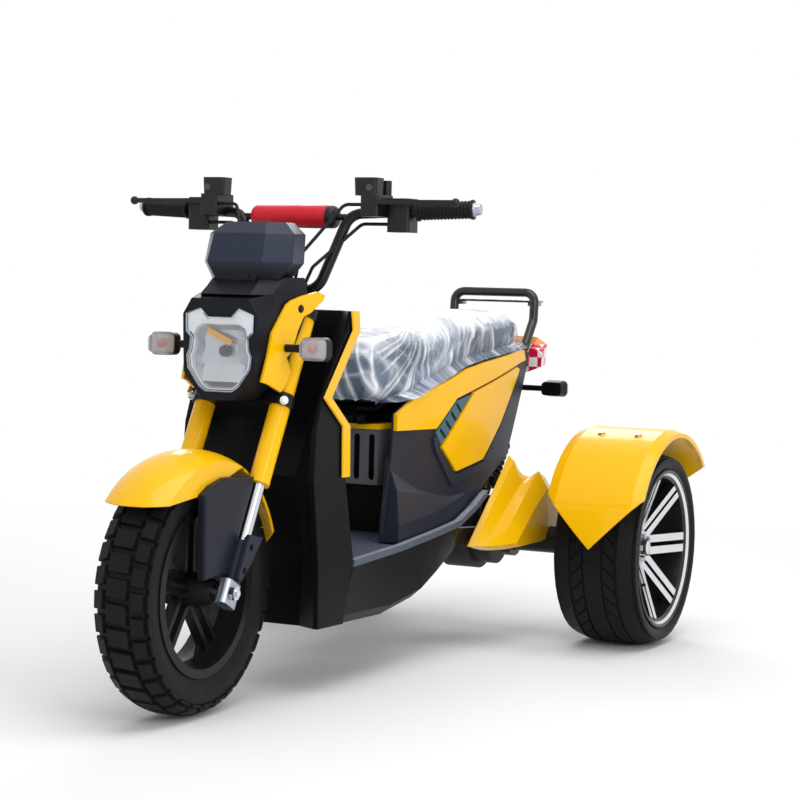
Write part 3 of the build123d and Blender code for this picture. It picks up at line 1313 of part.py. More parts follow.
# Painted fairings over the axle tubes
FAIRING_INNER_Y = 152.0
FAIRING_SECTIONS = [
    (FAIRING_INNER_Y, (-318, 238), (-392, 222), -700, [(-640, 362), (-592, 394), (-547, 432)]),
    (164, (-326, 238), (-394, 222), -700, [(-645, 370), (-596, 384), (-550, 420)]),
    (182, (-344, 237), (-400, 223), -700, [(-650, 378), (-604, 378), (-553, 366)]),
    (204, (-380, 236), (-420, 225), -696, [(-652, 374), (-608, 393), (-540, 350)]),
    (228, (-430, 240), (-450, 230), -690, [(-662, 330), (-612, 352), (-545, 318)]),
]
FAIRING_INSIDE = [
    (-440, 190), (-690, 170), (-690, 290), (-655, 320), (-612, 336), (-550, 306), (-450, 240),
]
with BuildPart() as axle_fairings:
    for y, nose, chin, back, crest in FAIRING_SECTIONS:
        with BuildSketch(side_plane(y)):
            Polygon(nose, chin, (-584, 230), (back, 243), (back, 300), *crest, align=None)
    loft(ruled=True)
    with BuildSketch(side_plane(FAIRING_INNER_Y - 10)):
        Polygon(*FAIRING_INSIDE, align=None)
    extrude(amount=-(228 - FAIRING_INNER_Y + 10 - WALL), mode=Mode.SUBTRACT)
    with BuildSketch(side_plane(FAIRING_INNER_Y - 10)):
        with Locations((REAR_AXLE_X, REAR_TYRE_RADIUS)):
            Circle(AXLE_TUBE_RADIUS + GAP)
    extrude(amount=-140, mode=Mode.SUBTRACT)
    mirror(about=Plane.XZ)
write(axle_fairings, "axle_fairings")

# Rear fenders: arched, with a pointed tip front and back
REAR_FENDER_RADIUS = 275.0
FENDER_OUTER_Y = 542.0
FENDER_MID_Y = 430.0
FRONT_TIP_Z = 247.0
FRONT_CORNER_Z = 361.0
REAR_TIP_Z = REAR_TYRE_RADIUS + 112.0
REAR_CORNER_Z = 411.0
with BuildPart() as rear_fenders:
    with BuildSketch(
        Plane(origin=(REAR_AXLE_X, 0, REAR_TYRE_RADIUS), x_dir=(1, 0, 0), z_dir=(0, 0, 1))
    ):
        Polygon(
            (REAR_FENDER_RADIUS - 14, FENDER_INNER_Y), (REAR_FENDER_RADIUS - 4, FENDER_INNER_Y),
            (REAR_FENDER_RADIUS + 4, FENDER_INNER_Y + 24), (REAR_FENDER_RADIUS + 4, FENDER_OUTER_Y - 24),
            (REAR_FENDER_RADIUS - 4, FENDER_OUTER_Y), (REAR_FENDER_RADIUS - 14, FENDER_OUTER_Y),
            (REAR_FENDER_RADIUS - 14, FENDER_OUTER_Y - WALL), (REAR_FENDER_RADIUS - 7, FENDER_OUTER_Y - WALL),
            (REAR_FENDER_RADIUS, FENDER_OUTER_Y - 26), (REAR_FENDER_RADIUS, FENDER_INNER_Y + 26),
            (REAR_FENDER_RADIUS - 7, FENDER_INNER_Y + WALL), (REAR_FENDER_RADIUS - 14, FENDER_INNER_Y + WALL),
            align=None,
        )
    revolve(axis=Axis((REAR_AXLE_X, 0, REAR_TYRE_RADIUS), (0, 1, 0)), revolution_arc=-180)
    with BuildSketch(front_plane(REAR_AXLE_X)):
        Polygon(
            (FENDER_INNER_Y - 10, FRONT_CORNER_Z + 10), (FENDER_MID_Y, FRONT_TIP_Z),
            (FENDER_OUTER_Y + 10, FRONT_CORNER_Z + 10), (FENDER_OUTER_Y + 10, 100), (FENDER_INNER_Y - 10, 100),
            align=None,
        )
    extrude(amount=320, mode=Mode.SUBTRACT)
    with BuildSketch(front_plane(REAR_AXLE_X)):
        Polygon(
            (FENDER_INNER_Y - 10, REAR_CORNER_Z + 5), (FENDER_MID_Y, REAR_TIP_Z),
            (FENDER_OUTER_Y + 10, REAR_CORNER_Z + 5), (FENDER_OUTER_Y + 10, 100), (FENDER_INNER_Y - 10, 100),
            align=None,
        )
    extrude(amount=-320, mode=Mode.SUBTRACT)
    mirror(about=Plane.XZ)
write(rear_fenders, "rear_fenders")
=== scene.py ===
import math

import bmesh
import bpy
from mathutils import Matrix, Vector, noise


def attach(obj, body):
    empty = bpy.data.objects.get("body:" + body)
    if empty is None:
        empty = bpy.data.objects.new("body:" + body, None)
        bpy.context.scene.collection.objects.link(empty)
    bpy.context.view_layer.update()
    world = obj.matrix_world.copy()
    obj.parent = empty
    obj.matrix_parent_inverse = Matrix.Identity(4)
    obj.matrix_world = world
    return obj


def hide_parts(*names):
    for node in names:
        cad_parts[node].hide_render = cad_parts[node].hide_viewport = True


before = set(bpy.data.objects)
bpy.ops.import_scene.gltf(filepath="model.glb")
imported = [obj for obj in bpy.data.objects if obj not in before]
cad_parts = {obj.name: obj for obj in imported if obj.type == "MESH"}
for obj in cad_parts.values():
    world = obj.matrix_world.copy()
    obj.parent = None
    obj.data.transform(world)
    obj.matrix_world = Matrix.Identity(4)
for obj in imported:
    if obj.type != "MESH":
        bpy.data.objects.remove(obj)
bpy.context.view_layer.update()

# Studio: a pale floor that fades to white under an even white sky, with one broad panel of light
# overhead, one ahead on the left and one behind. Mirrored and clear pieces see the sky as plain white.
# The camera stands ahead of the left front corner at lamp height.
FLOOR_HALF = 14.0
FLOOR_TONE = (0.90, 0.90, 0.90, 1.0)
FLOOR_ROUGH = 0.9
FLOOR_GLOSS = 0.1
FLOOR_FADE = (1.3, 3.4)
SKY_TONE = (0.95, 0.975, 1.0, 1.0)
SKY_STRENGTH = 0.62
PLAIN_WHITE = (1.0, 1.0, 1.0, 1.0)
floor_shape = bmesh.new()
bmesh.ops.create_grid(floor_shape, x_segments=4, y_segments=4, size=FLOOR_HALF)
floor_mesh = bpy.data.meshes.new("studio_floor")
floor_shape.to_mesh(floor_mesh)
floor_shape.free()
studio_floor = bpy.data.objects.new("studio_floor", floor_mesh)
bpy.context.collection.objects.link(studio_floor)


def bare_material(name):
    material = bpy.data.materials.new(name)
    material.use_nodes = True
    return material, material.node_tree, material.node_tree.nodes["Principled BSDF"]


floor_paint, floor_look, floor_bsdf = bare_material("studio_floor")
floor_bsdf.inputs["Base Color"].default_value = FLOOR_TONE
floor_bsdf.inputs["Roughness"].default_value = FLOOR_ROUGH
floor_bsdf.inputs["Specular IOR Level"].default_value = FLOOR_GLOSS
floor_coords = floor_look.nodes.new("ShaderNodeTexCoord")
floor_reach = floor_look.nodes.new("ShaderNodeVectorMath")
floor_reach.operation = "LENGTH"
floor_fade = floor_look.nodes.new("ShaderNodeMapRange")
floor_fade.interpolation_type = "SMOOTHSTEP"
floor_fade.inputs["From Min"].default_value = FLOOR_FADE[0]
floor_fade.inputs["From Max"].default_value = FLOOR_FADE[1]
floor_white = floor_look.nodes.new("ShaderNodeEmission")
floor_white.inputs["Color"].default_value = PLAIN_WHITE
floor_white.inputs["Strength"].default_value = 1.0
floor_mix = floor_look.nodes.new("ShaderNodeMixShader")
floor_look.links.new(floor_coords.outputs["Object"], floor_reach.inputs[0])
floor_look.links.new(floor_reach.outputs["Value"], floor_fade.inputs["Value"])
floor_look.links.new(floor_fade.outputs["Result"], floor_mix.inputs["Fac"])
floor_look.links.new(floor_bsdf.outputs["BSDF"], floor_mix.inputs[1])
floor_look.links.new(floor_white.outputs["Emission"], floor_mix.inputs[2])
floor_end = floor_look.nodes["Material Output"]
floor_look.links.new(floor_mix.outputs["Shader"], floor_end.inputs["Surface"])
floor_mesh.materials.append(floor_paint)


def maths(tree, operation, first, second):
    node = tree.nodes.new("ShaderNodeMath")
    node.operation = operation
    for socket, value in zip(node.inputs, (first, second)):
        if isinstance(value, (int, float)):
            socket.default_value = value
        else:
            tree.links.new(value, socket)
    return node.outputs["Value"]


sky = bpy.data.worlds.new("studio_sky")
sky.use_nodes = True
bpy.context.scene.world = sky
sky_nodes, sky_links = sky.node_tree.nodes, sky.node_tree.links
sky_glow = sky_nodes["Background"]
sky_glow.inputs["Color"].default_value = SKY_TONE
sky_glow.inputs["Strength"].default_value = SKY_STRENGTH
sky_seen = sky_nodes.new("ShaderNodeBackground")
sky_seen.inputs["Color"].default_value = PLAIN_WHITE
sky_seen.inputs["Strength"].default_value = 1.0
sky_path = sky_nodes.new("ShaderNodeLightPath").outputs
sky_direct = maths(sky.node_tree, "MAXIMUM", sky_path["Is Camera Ray"], sky_path["Is Glossy Ray"])
sky_direct = maths(sky.node_tree, "MAXIMUM", sky_direct, sky_path["Is Transmission Ray"])
sky_pick = sky_nodes.new("ShaderNodeMixShader")
sky_links.new(sky_direct, sky_pick.inputs["Fac"])
sky_links.new(sky_glow.outputs["Background"], sky_pick.inputs[1])
sky_links.new(sky_seen.outputs["Background"], sky_pick.inputs[2])
sky_links.new(sky_pick.outputs["Shader"], sky_nodes["World Output"].inputs["Surface"])


def light_panel(name, place, aim, width, height, power):
    lamp = bpy.data.lights.new(name, "AREA")
    lamp.shape = "RECTANGLE"
    lamp.size = width
    lamp.size_y = height
    lamp.energy = power
    stand = bpy.data.objects.new(name, lamp)
    bpy.context.collection.objects.link(stand)
    stand.location = place
    stand.rotation_euler = (Vector(aim) - Vector(place)).to_track_quat("-Z", "Y").to_euler()


BODY_MIDDLE = (0, 0, 0.5)
SEAT_MIDDLE = (-0.2, 0, 0.6)
light_panel("overhead_panel", (0.4, 0.9, 3.4), BODY_MIDDLE, width=3.0, height=2.2, power=57)
light_panel("left_panel", (2.2, 3.2, 2.0), BODY_MIDDLE, width=2.0, height=1.6, power=42)
light_panel("back_panel", (-3.0, -1.4, 2.4), SEAT_MIDDLE, width=2.0, height=1.6, power=40)

CAMERA_PLACE = Vector((4.1425, 2.1491, 0.8415))
CAMERA_YAW = 0.4539
CAMERA_PITCH = 0.0559
CAMERA_ROLL = 0.0249
CAMERA_LENS = 96.91
ahead = Vector((
    -math.cos(CAMERA_YAW) * math.cos(CAMERA_PITCH),
    -math.sin(CAMERA_YAW) * math.cos(CAMERA_PITCH),
    -math.sin(CAMERA_PITCH),
))
level = ahead.cross(Vector((0, 0, 1))).normalized()
upright = level.cross(ahead)
camera_right = level * math.cos(CAMERA_ROLL) + upright * math.sin(CAMERA_ROLL)
camera_up = upright * math.cos(CAMERA_ROLL) - level * math.sin(CAMERA_ROLL)
camera_data = bpy.data.cameras.new("photo_camera")
camera_data.lens = CAMERA_LENS
camera_data.sensor_width = 36.0
photo_camera = bpy.data.objects.new("photo_camera", camera_data)
bpy.context.collection.objects.link(photo_camera)
turn = Matrix((camera_right, camera_up, -ahead)).transposed().to_4x4()
photo_camera.matrix_world = Matrix.Translation(CAMERA_PLACE) @ turn
bpy.context.scene.camera = photo_camera
bpy.context.scene.view_settings.view_transform = "Standard"


# Main frame: round steel tube, welded and painted black; swing arm, axle tubes and tail bracket are too.
# Every finish on the scooter is built here from two effects: a moulded or sprayed grain and a thin film
# of road dust that thickens towards the ground.
def shader_group(name, takes, gives):
    group = bpy.data.node_groups.new(name, "ShaderNodeTree")
    for label, kind, value in takes:
        group.interface.new_socket(label, in_out="INPUT", socket_type=kind).default_value = value
    for label, kind in gives:
        group.interface.new_socket(label, in_out="OUTPUT", socket_type=kind)
    return group, group.nodes.new("NodeGroupInput"), group.nodes.new("NodeGroupOutput")


def noise_field(tree, scale, detail):
    coords = tree.nodes.new("ShaderNodeTexCoord")
    field = tree.nodes.new("ShaderNodeTexNoise")
    field.inputs["Scale"].default_value = scale
    field.inputs["Detail"].default_value = detail
    tree.links.new(coords.outputs["Object"], field.inputs["Vector"])
    return field


surface_grain, grain_in, grain_out = shader_group(
    "surface_grain",
    [
        ("Grain", "NodeSocketFloat", 600), ("Rough", "NodeSocketFloat", 0.4),
        ("Spread", "NodeSocketFloat", 0.06),
    ],
    [("Roughness", "NodeSocketFloat"), ("Height", "NodeSocketFloat")],
)
BROAD_GRAIN = 11
grain_fine = noise_field(surface_grain, 600, detail=3)
grain_broad = noise_field(surface_grain, BROAD_GRAIN, detail=3)
surface_grain.links.new(grain_in.outputs["Grain"], grain_fine.inputs["Scale"])
grain_swing = maths(surface_grain, "SUBTRACT", grain_broad.outputs["Fac"], 0.5)
grain_swing = maths(surface_grain, "MULTIPLY", grain_swing, grain_in.outputs["Spread"])
grain_rough = maths(surface_grain, "ADD", grain_swing, grain_in.outputs["Rough"])
surface_grain.links.new(grain_rough, grain_out.inputs["Roughness"])
surface_grain.links.new(grain_fine.outputs["Fac"], grain_out.inputs["Height"])

road_dust, dust_in, dust_out = shader_group(
    "road_dust",
    [
        ("Colour", "NodeSocketColor", (0, 0, 0, 1)), ("Amount", "NodeSocketFloat", 0.2),
        ("Reach", "NodeSocketFloat", 0.5),
    ],
    [("Colour", "NodeSocketColor")],
)
DUST_TONE = (0.27, 0.245, 0.21, 1.0)
DUST_PATCHES = 17
DUST_LEAST = 0.12
dust_place = road_dust.nodes.new("ShaderNodeSeparateXYZ")
dust_coords = road_dust.nodes.new("ShaderNodeTexCoord")
road_dust.links.new(dust_coords.outputs["Object"], dust_place.inputs["Vector"])
dust_height = road_dust.nodes.new("ShaderNodeMapRange")
dust_height.inputs["From Max"].default_value = 0.0
dust_height.inputs["To Min"].default_value = DUST_LEAST
road_dust.links.new(dust_place.outputs["Z"], dust_height.inputs["Value"])
road_dust.links.new(dust_in.outputs["Reach"], dust_height.inputs["From Min"])
dust_patches = noise_field(road_dust, DUST_PATCHES, detail=5)
dust_mask = maths(road_dust, "MULTIPLY", dust_height.outputs["Result"], dust_patches.outputs["Fac"])
dust_mask = maths(road_dust, "MULTIPLY", dust_mask, dust_in.outputs["Amount"])
dust_mix = road_dust.nodes.new("ShaderNodeMix")
dust_mix.data_type = "RGBA"
dust_mix.inputs["B"].default_value = DUST_TONE
road_dust.links.new(dust_mask, dust_mix.inputs["Factor"])
road_dust.links.new(dust_in.outputs["Colour"], dust_mix.inputs["A"])
road_dust.links.new(dust_mix.outputs["Result"], dust_out.inputs["Colour"])


def use_group(tree, group, **values):
    node = tree.nodes.new("ShaderNodeGroup")
    node.node_tree = group
    for label, value in values.items():
        node.inputs[label].default_value = value
    return node


DUST_REACH = 0.5
COAT_ROUGH = 0.04
GRAIN_STRENGTH = 0.7
EDGE_SAMPLES = 4


def finish(
    name, colour, rough, metal=0.0, coat=0.0, gloss=0.2, grain=600.0, depth=0.0002, spread=0.1,
    dust=0.05, edge=0.0,
):
    material, tree, shader = bare_material(name)
    shader.inputs["Metallic"].default_value = metal
    shader.inputs["Coat Weight"].default_value = coat
    shader.inputs["Coat Roughness"].default_value = COAT_ROUGH
    shader.inputs["Specular IOR Level"].default_value = gloss
    film = use_group(tree, road_dust, Colour=(*colour, 1.0), Amount=dust, Reach=DUST_REACH)
    tree.links.new(film.outputs["Colour"], shader.inputs["Base Color"])
    texture = use_group(tree, surface_grain, Grain=grain, Rough=rough, Spread=spread)
    tree.links.new(texture.outputs["Roughness"], shader.inputs["Roughness"])
    bump = tree.nodes.new("ShaderNodeBump")
    bump.inputs["Strength"].default_value = GRAIN_STRENGTH
    bump.inputs["Distance"].default_value = depth
    tree.links.new(texture.outputs["Height"], bump.inputs["Height"])
    if edge:
        round_edge = tree.nodes.new("ShaderNodeBevel")
        round_edge.samples = EDGE_SAMPLES
        round_edge.inputs["Radius"].default_value = edge
        tree.links.new(round_edge.outputs["Normal"], bump.inputs["Normal"])
    tree.links.new(bump.outputs["Normal"], shader.inputs["Normal"])
    return material


def dress(material, *names):
    for name in names:
        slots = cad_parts[name].data.materials
        slots.clear()
        slots.append(material)


frame_paint = finish(
    "frame_paint", (0.0045, 0.0045, 0.006), 0.3, gloss=0.25, grain=180, depth=0.0001, edge=0.001,
)
dress(frame_paint, "main_frame", "swing_arm", "axle_tubes", "tail_bracket")

# Drive unit, battery and brake caliper: black painted castings on the axle and fork leg, and a moulded
# case bolted between the floor rails. All hang low, so they carry the most dust.
casting_black = finish(
    "casting_black", (0.014, 0.014, 0.016), 0.55, grain=260, depth=0.0005, dust=0.3, edge=0.002,
)
dress(casting_black, "drive_motor", "battery", "front_caliper")

# Rear shocks: a steel coil wound round a damper, both sprayed glossy black.
# Each is bolted to the frame at its top eye and to the swing arm at its lower one.
coil_black = finish(
    "coil_black", (0.012, 0.012, 0.014), 0.28, gloss=0.6, grain=120, depth=0.0001, dust=0.15, edge=0.001,
)
dress(coil_black, "rear_shocks")


# Rear tyres: wide, low rubber with straight main grooves and slanted cuts that run to the shoulders.
# The crown is one grid bent round the wheel, and its blocks are raised out of the groove floor; rings
# of sidewall join it to the beads.
def shape(form, name, body, slot, *materials, crease=38.0, replaces=()):
    mesh = bpy.data.meshes.new(name)
    form.to_mesh(mesh)
    form.free()
    for material in materials:
        mesh.materials.append(material)
    for face in mesh.polygons:
        face.use_smooth = True
    mesh.set_sharp_from_angle(angle=math.radians(crease))
    made = bpy.data.objects.new(name, mesh)
    bpy.context.collection.objects.link(made)
    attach(made, body)
    if replaces:
        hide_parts(*replaces)
    return made


def bridge_rings(form, *rings):
    for first, second in zip(rings, rings[1:]):
        both = set(first) | set(second)
        loops = [
            edge for edge in form.edges
            if len(edge.link_faces) < 2 and edge.verts[0] in both and edge.verts[1] in both
        ]
        bmesh.ops.bridge_loops(form, edges=loops)


WELD_REACH = 0.0002
BLOCK_CHAMFER = 0.0014
RIB_CHAMFER = 0.0012


def block_tyre(centre, pitches, groove_share, columns, raised, plain, crown, slant, sidewall, tread):
    form = bmesh.new()
    cells = 2 * pitches
    bmesh.ops.create_grid(form, x_segments=cells, y_segments=len(columns) - 1, size=1.0)
    row_step = 2.0 / (len(columns) - 1)
    raise_these, plain_these = [], []
    for face in form.faces:
        middle = face.calc_center_median()
        row = int((middle.y + 1) / row_step)
        if row in plain:
            plain_these.append(face)
        elif int((middle.x + 1) / 2 * cells) % 2 == 0 and row in raised:
            raise_these.append(face)
    rims = {side: [vert for vert in form.verts if side * vert.co.y > 0.99] for side in (1, -1)}
    pitch = 2 * math.pi / pitches
    edge_turn = slant(columns[-1]) * pitch
    for vert in form.verts:
        step = round((vert.co.x + 1) / 2 * cells)
        across = columns[round((vert.co.y + 1) / row_step)]
        turn = (step // 2 + (1 - groove_share) * (step % 2) + slant(across)) * pitch
        radius, offset = crown(across)
        vert.co = (
            centre[0] + radius * math.cos(turn), centre[1] + offset, centre[2] - radius * math.sin(turn),
        )
    ends = []
    for step in range(cells):
        turn = (step // 2 + (1 - groove_share) * (step % 2)) * pitch + edge_turn
        ends.append((math.cos(turn), -math.sin(turn)))
    flanks = {}
    for side in (1, -1):
        flanks[side] = []
        for radius, offset in sidewall:
            ring = bmesh.ops.create_circle(form, segments=cells, radius=1.0)["verts"]
            for vert, (along, up) in zip(ring, ends):
                vert.co = (centre[0] + radius * along, centre[1] + side * offset, centre[2] + radius * up)
            flanks[side].append(ring)
    bmesh.ops.remove_doubles(form, verts=[vert for vert in form.verts if vert.link_faces], dist=WELD_REACH)
    for side in (1, -1):
        bridge_rings(form, [vert for vert in rims[side] if vert.is_valid], *flanks[side])
    bridge_rings(form, flanks[1][-1], flanks[-1][-1])
    bmesh.ops.recalc_face_normals(form, faces=form.faces)
    bmesh.ops.inset_individual(
        form, faces=raise_these, thickness=BLOCK_CHAMFER, depth=tread, use_even_offset=True,
    )
    if plain_these:
        bmesh.ops.inset_region(
            form, faces=plain_these, thickness=RIB_CHAMFER, depth=tread, use_boundary=True,
            use_even_offset=True,
        )
    return form


tyre_rubber = finish(
    "tyre_rubber", (0.0048, 0.0048, 0.0062), 0.5, gloss=0.12, grain=900, spread=0.2, dust=0.04,
)
REAR_AXLE = (-0.639, 0.420, 0.228)
REAR_PITCHES = 38
REAR_CUT = 0.07
REAR_TOP = 0.2279
REAR_HALF = 0.0905
REAR_COLUMNS = [-1.0, -0.62, -0.585, -0.27, -0.235, 0.235, 0.27, 0.585, 0.62, 1.0]
REAR_RIBS = (2, 6)
REAR_PLAIN = (0, 4, 8)
REAR_TREAD = 0.004
REAR_SIDEWALL = [
    (0.2118, 0.0985), (0.2040, 0.0998), (0.1980, 0.0992), (0.1912, 0.0945), (0.1862, 0.0920),
    (0.1735, 0.0874),
]


def rear_crown(across):
    drop = 0.002 * across ** 2 + 0.010 * max(0.0, abs(across) - 0.6) ** 2 / 0.16
    return REAR_TOP - REAR_TREAD - drop, REAR_HALF * across


def rear_slant(across):
    return 2.4 * abs(across)


for side, body in ((1, "rear_left_wheel"), (-1, "rear_right_wheel")):
    rear_tyre = block_tyre(
        (REAR_AXLE[0], side * REAR_AXLE[1], REAR_AXLE[2]), REAR_PITCHES, REAR_CUT, REAR_COLUMNS,
        REAR_RIBS, REAR_PLAIN, rear_crown, rear_slant, REAR_SIDEWALL, REAR_TREAD,
    )
    shape(rear_tyre, body + "_tread", body, "tyre", tyre_rubber, replaces=(body.replace("wheel", "tyre"),))


# Rear wheels: cast alloy painted black; the spokes' outer faces are turned bright afterwards, and a
# thin bright line on the lip is a painted highlight. Five nuts hold each hub, and a rubber valve stands
# inside the lip.
def split(tree, output):
    coords = tree.nodes.new("ShaderNodeTexCoord")
    parts = tree.nodes.new("ShaderNodeSeparateXYZ")
    tree.links.new(coords.outputs[output], parts.inputs["Vector"])
    return parts.outputs


def paint_over(material, mask, colour, under=None):
    tree = material.node_tree
    base = tree.nodes["Principled BSDF"].inputs["Base Color"] if under is None else under
    mix = tree.nodes.new("ShaderNodeMix")
    mix.data_type = "RGBA"
    mix.inputs["B"].default_value = (*colour, 1.0)
    tree.links.new(base.links[0].from_socket, mix.inputs["A"])
    tree.links.new(mask, mix.inputs["Factor"])
    tree.links.new(mix.outputs["Result"], base)


SPOKE_END = 0.1630
LIP_HIGHLIGHT = (0.1710, 0.1765)
OUTWARD = 0.30
cut_alloy = finish(
    "cut_alloy", (0.007, 0.007, 0.0085), 0.3, gloss=0.4, grain=200, depth=0.0001, edge=0.0012,
)
cut_tree = cut_alloy.node_tree
cut_normal = split(cut_tree, "Normal")
cut_place = split(cut_tree, "Object")
cut_facing = maths(cut_tree, "MULTIPLY", cut_normal["Y"], cut_place["Y"])
cut_and_highlight = maths(cut_tree, "GREATER_THAN", cut_facing, OUTWARD)
cut_along = maths(cut_tree, "POWER", maths(cut_tree, "ADD", cut_place["X"], -REAR_AXLE[0]), 2.0)
cut_up = maths(cut_tree, "POWER", maths(cut_tree, "SUBTRACT", cut_place["Z"], REAR_AXLE[2]), 2.0)
cut_radius = maths(cut_tree, "SQRT", maths(cut_tree, "ADD", cut_along, cut_up), 0.5)
cut_spokes = maths(cut_tree, "LESS_THAN", cut_radius, SPOKE_END)
# Painted highlight: a thin ring on the lip's outward face is painted bright metal all the way round.
lip_highlight = maths(cut_tree, "GREATER_THAN", cut_radius, LIP_HIGHLIGHT[0])
lip_highlight = maths(cut_tree, "MULTIPLY", lip_highlight, maths(cut_tree, "LESS_THAN", cut_radius, LIP_HIGHLIGHT[1]))
cut_and_highlight = maths(cut_tree, "MULTIPLY", cut_and_highlight, maths(cut_tree, "ADD", cut_spokes, lip_highlight))
paint_over(cut_alloy, cut_and_highlight, (0.72, 0.73, 0.75))
cut_tree.links.new(cut_and_highlight, cut_tree.nodes["Principled BSDF"].inputs["Metallic"])
dress(cut_alloy, "rear_left_rim", "rear_right_rim")


WASHER_THICK = 0.0016
WASHER_RISE = 0.0006


def stud(form, place, axis, radius, height, sides=6, washer=0.0):
    stand = Vector(axis).to_track_quat("Z", "Y").to_matrix().to_4x4()
    if washer:
        base = Matrix.Translation(Vector(place) + Vector(axis).normalized() * WASHER_RISE) @ stand
        bmesh.ops.create_cone(
            form, cap_ends=True, segments=20, radius1=washer, radius2=washer * 0.94, depth=WASHER_THICK,
            matrix=base,
        )
    top = Matrix.Translation(Vector(place) + Vector(axis).normalized() * height / 2) @ stand
    bmesh.ops.create_cone(
        form, cap_ends=True, segments=sides, radius1=radius, radius2=radius * 0.9, depth=height,
        matrix=top,
    )


bright_steel = finish(
    "bright_steel", (0.56, 0.56, 0.57), 0.28, metal=1.0, grain=300, depth=0.0001, dust=0.1,
)
HUB_FACE = 0.040
NUT_COUNT = 5
NUT_CIRCLE = 0.0275
VALVE_FOOT = (0.150, 0.492, -0.072)
for side, body in ((1, "rear_left_wheel"), (-1, "rear_right_wheel")):
    nuts = bmesh.new()
    for count in range(NUT_COUNT):
        turn = 2 * math.pi * count / NUT_COUNT
        nut_place = (
            REAR_AXLE[0] + NUT_CIRCLE * math.cos(turn), side * (REAR_AXLE[1] + HUB_FACE),
            REAR_AXLE[2] + NUT_CIRCLE * math.sin(turn),
        )
        stud(nuts, nut_place, (0, side, 0), radius=0.0072, height=0.010)
    shape(nuts, body + "_nuts", body, "steel", bright_steel)
    valve = bmesh.new()
    valve_place = (REAR_AXLE[0] + VALVE_FOOT[0], side * VALVE_FOOT[1], REAR_AXLE[2] + VALVE_FOOT[2])
    stud(valve, valve_place, (-0.3, side, 0.14), radius=0.004, height=0.030, sides=12)
    shape(valve, body + "_valve", body, "tyre", tyre_rubber)

# Rear fenders and axle fairings: thick mouldings sprayed glossy yellow.
# Two plated dome bolts in each fender's crown go through to the strap underneath.
yellow_gloss = finish(
    "yellow_gloss", (0.93, 0.50, 0.001), 0.3, coat=0.3, gloss=0.12, grain=45, depth=0.00006, dust=0.01,
    edge=0.003,
)
dress(yellow_gloss, "rear_fenders", "axle_fairings")
FENDER_BOLT_PLACE = (-0.558, 0.495)
FENDER_BOLTS_ACROSS = (0.380, 0.470)
FENDER_BOLT_AXIS = (0.29, 0, 0.957)
fender_bolts = bmesh.new()


def stud_pair(form, place, axis, **sizes):
    for side in (1, -1):
        mirror = Vector((1, side, 1))
        stud(form, Vector(place) * mirror, Vector(axis) * mirror, **sizes)


for across in FENDER_BOLTS_ACROSS:
    stud_pair(
        fender_bolts, (FENDER_BOLT_PLACE[0], across, FENDER_BOLT_PLACE[1]), FENDER_BOLT_AXIS,
        radius=0.0085, height=0.005, sides=16, washer=0.0115,
    )
brass_plate = finish(
    "brass_plate", (0.62, 0.40, 0.14), 0.3, metal=0.9, gloss=0.5, grain=300, depth=0.0001,
)
shape(fender_bolts, "fender_bolts", "chassis", "steel", brass_plate)

# Floor, belly, leg shield, seat bin and side covers: black and dark grey polypropylene with a fine
# moulded grain, screwed to the frame. The upward tops of the floor's outer rims are speckled pale as a
# painted highlight.
black_plastic = finish(
    "black_plastic", (0.0035, 0.0035, 0.0048), 0.36, gloss=0.09, grain=1100, dust=0.02, edge=0.004,
)
slate_plastic = finish(
    "slate_plastic", (0.019, 0.022, 0.036), 0.36, gloss=0.14, grain=1100, dust=0.02, edge=0.004,
)
floor_plastic = finish(
    "floor_plastic", (0.080, 0.095, 0.135), 0.45, gloss=0.25, grain=700, depth=0.0004, edge=0.003,
)
dress(black_plastic, "belly_pan", "leg_shield", "seat_box", "seat_pan")
# Painted highlight: upward faces of the floor's outer rims are mixed towards pale grey in noise speckles.
RIM_INSIDE = 0.1575
RIM_UPWARD = 0.5
RIM_HIGHLIGHT_SPECKLE = 160
floor_tree = floor_plastic.node_tree
rim_across = maths(floor_tree, "ABSOLUTE", split(floor_tree, "Object")["Y"], 0.0)
rim_upward = maths(floor_tree, "GREATER_THAN", split(floor_tree, "Normal")["Z"], RIM_UPWARD)
rim_highlight = maths(floor_tree, "GREATER_THAN", rim_across, RIM_INSIDE)
rim_highlight = maths(floor_tree, "MULTIPLY", rim_highlight, rim_upward)
rim_highlight_speckle = noise_field(floor_tree, RIM_HIGHLIGHT_SPECKLE, detail=4)
rim_highlight = maths(floor_tree, "MULTIPLY", rim_highlight, rim_highlight_speckle.outputs["Fac"])
paint_over(floor_plastic, rim_highlight, (0.46, 0.48, 0.52))
dress(floor_plastic, "floorboard")
dress(slate_plastic, "side_covers")
SHIELD_BOLT_PLACE = (0.3715, 0.1537, 0.629)
shield_bolts = bmesh.new()
stud_pair(shield_bolts, SHIELD_BOLT_PLACE, (0, 1, 0), radius=0.005, height=0.004, washer=0.0075)
shape(shield_bolts, "shield_bolts", "chassis", "black_plastic", frame_paint)

# Side panels and shield trim, sprayed the same yellow; a grey slotted vent and teal grilles, moulded in
# their colour. All are clipped to the covers behind them.
vent_plastic = finish("vent_plastic", (0.105, 0.11, 0.12), 0.42, grain=1000, edge=0.002)
teal_plastic = finish("teal_plastic", (0.055, 0.135, 0.165), 0.45, grain=800, depth=0.0003, edge=0.001)
dress(yellow_gloss, "upper_panels", "lower_panels", "shield_trim")
dress(vent_plastic, "vent_panel")
dress(teal_plastic, "side_grilles")

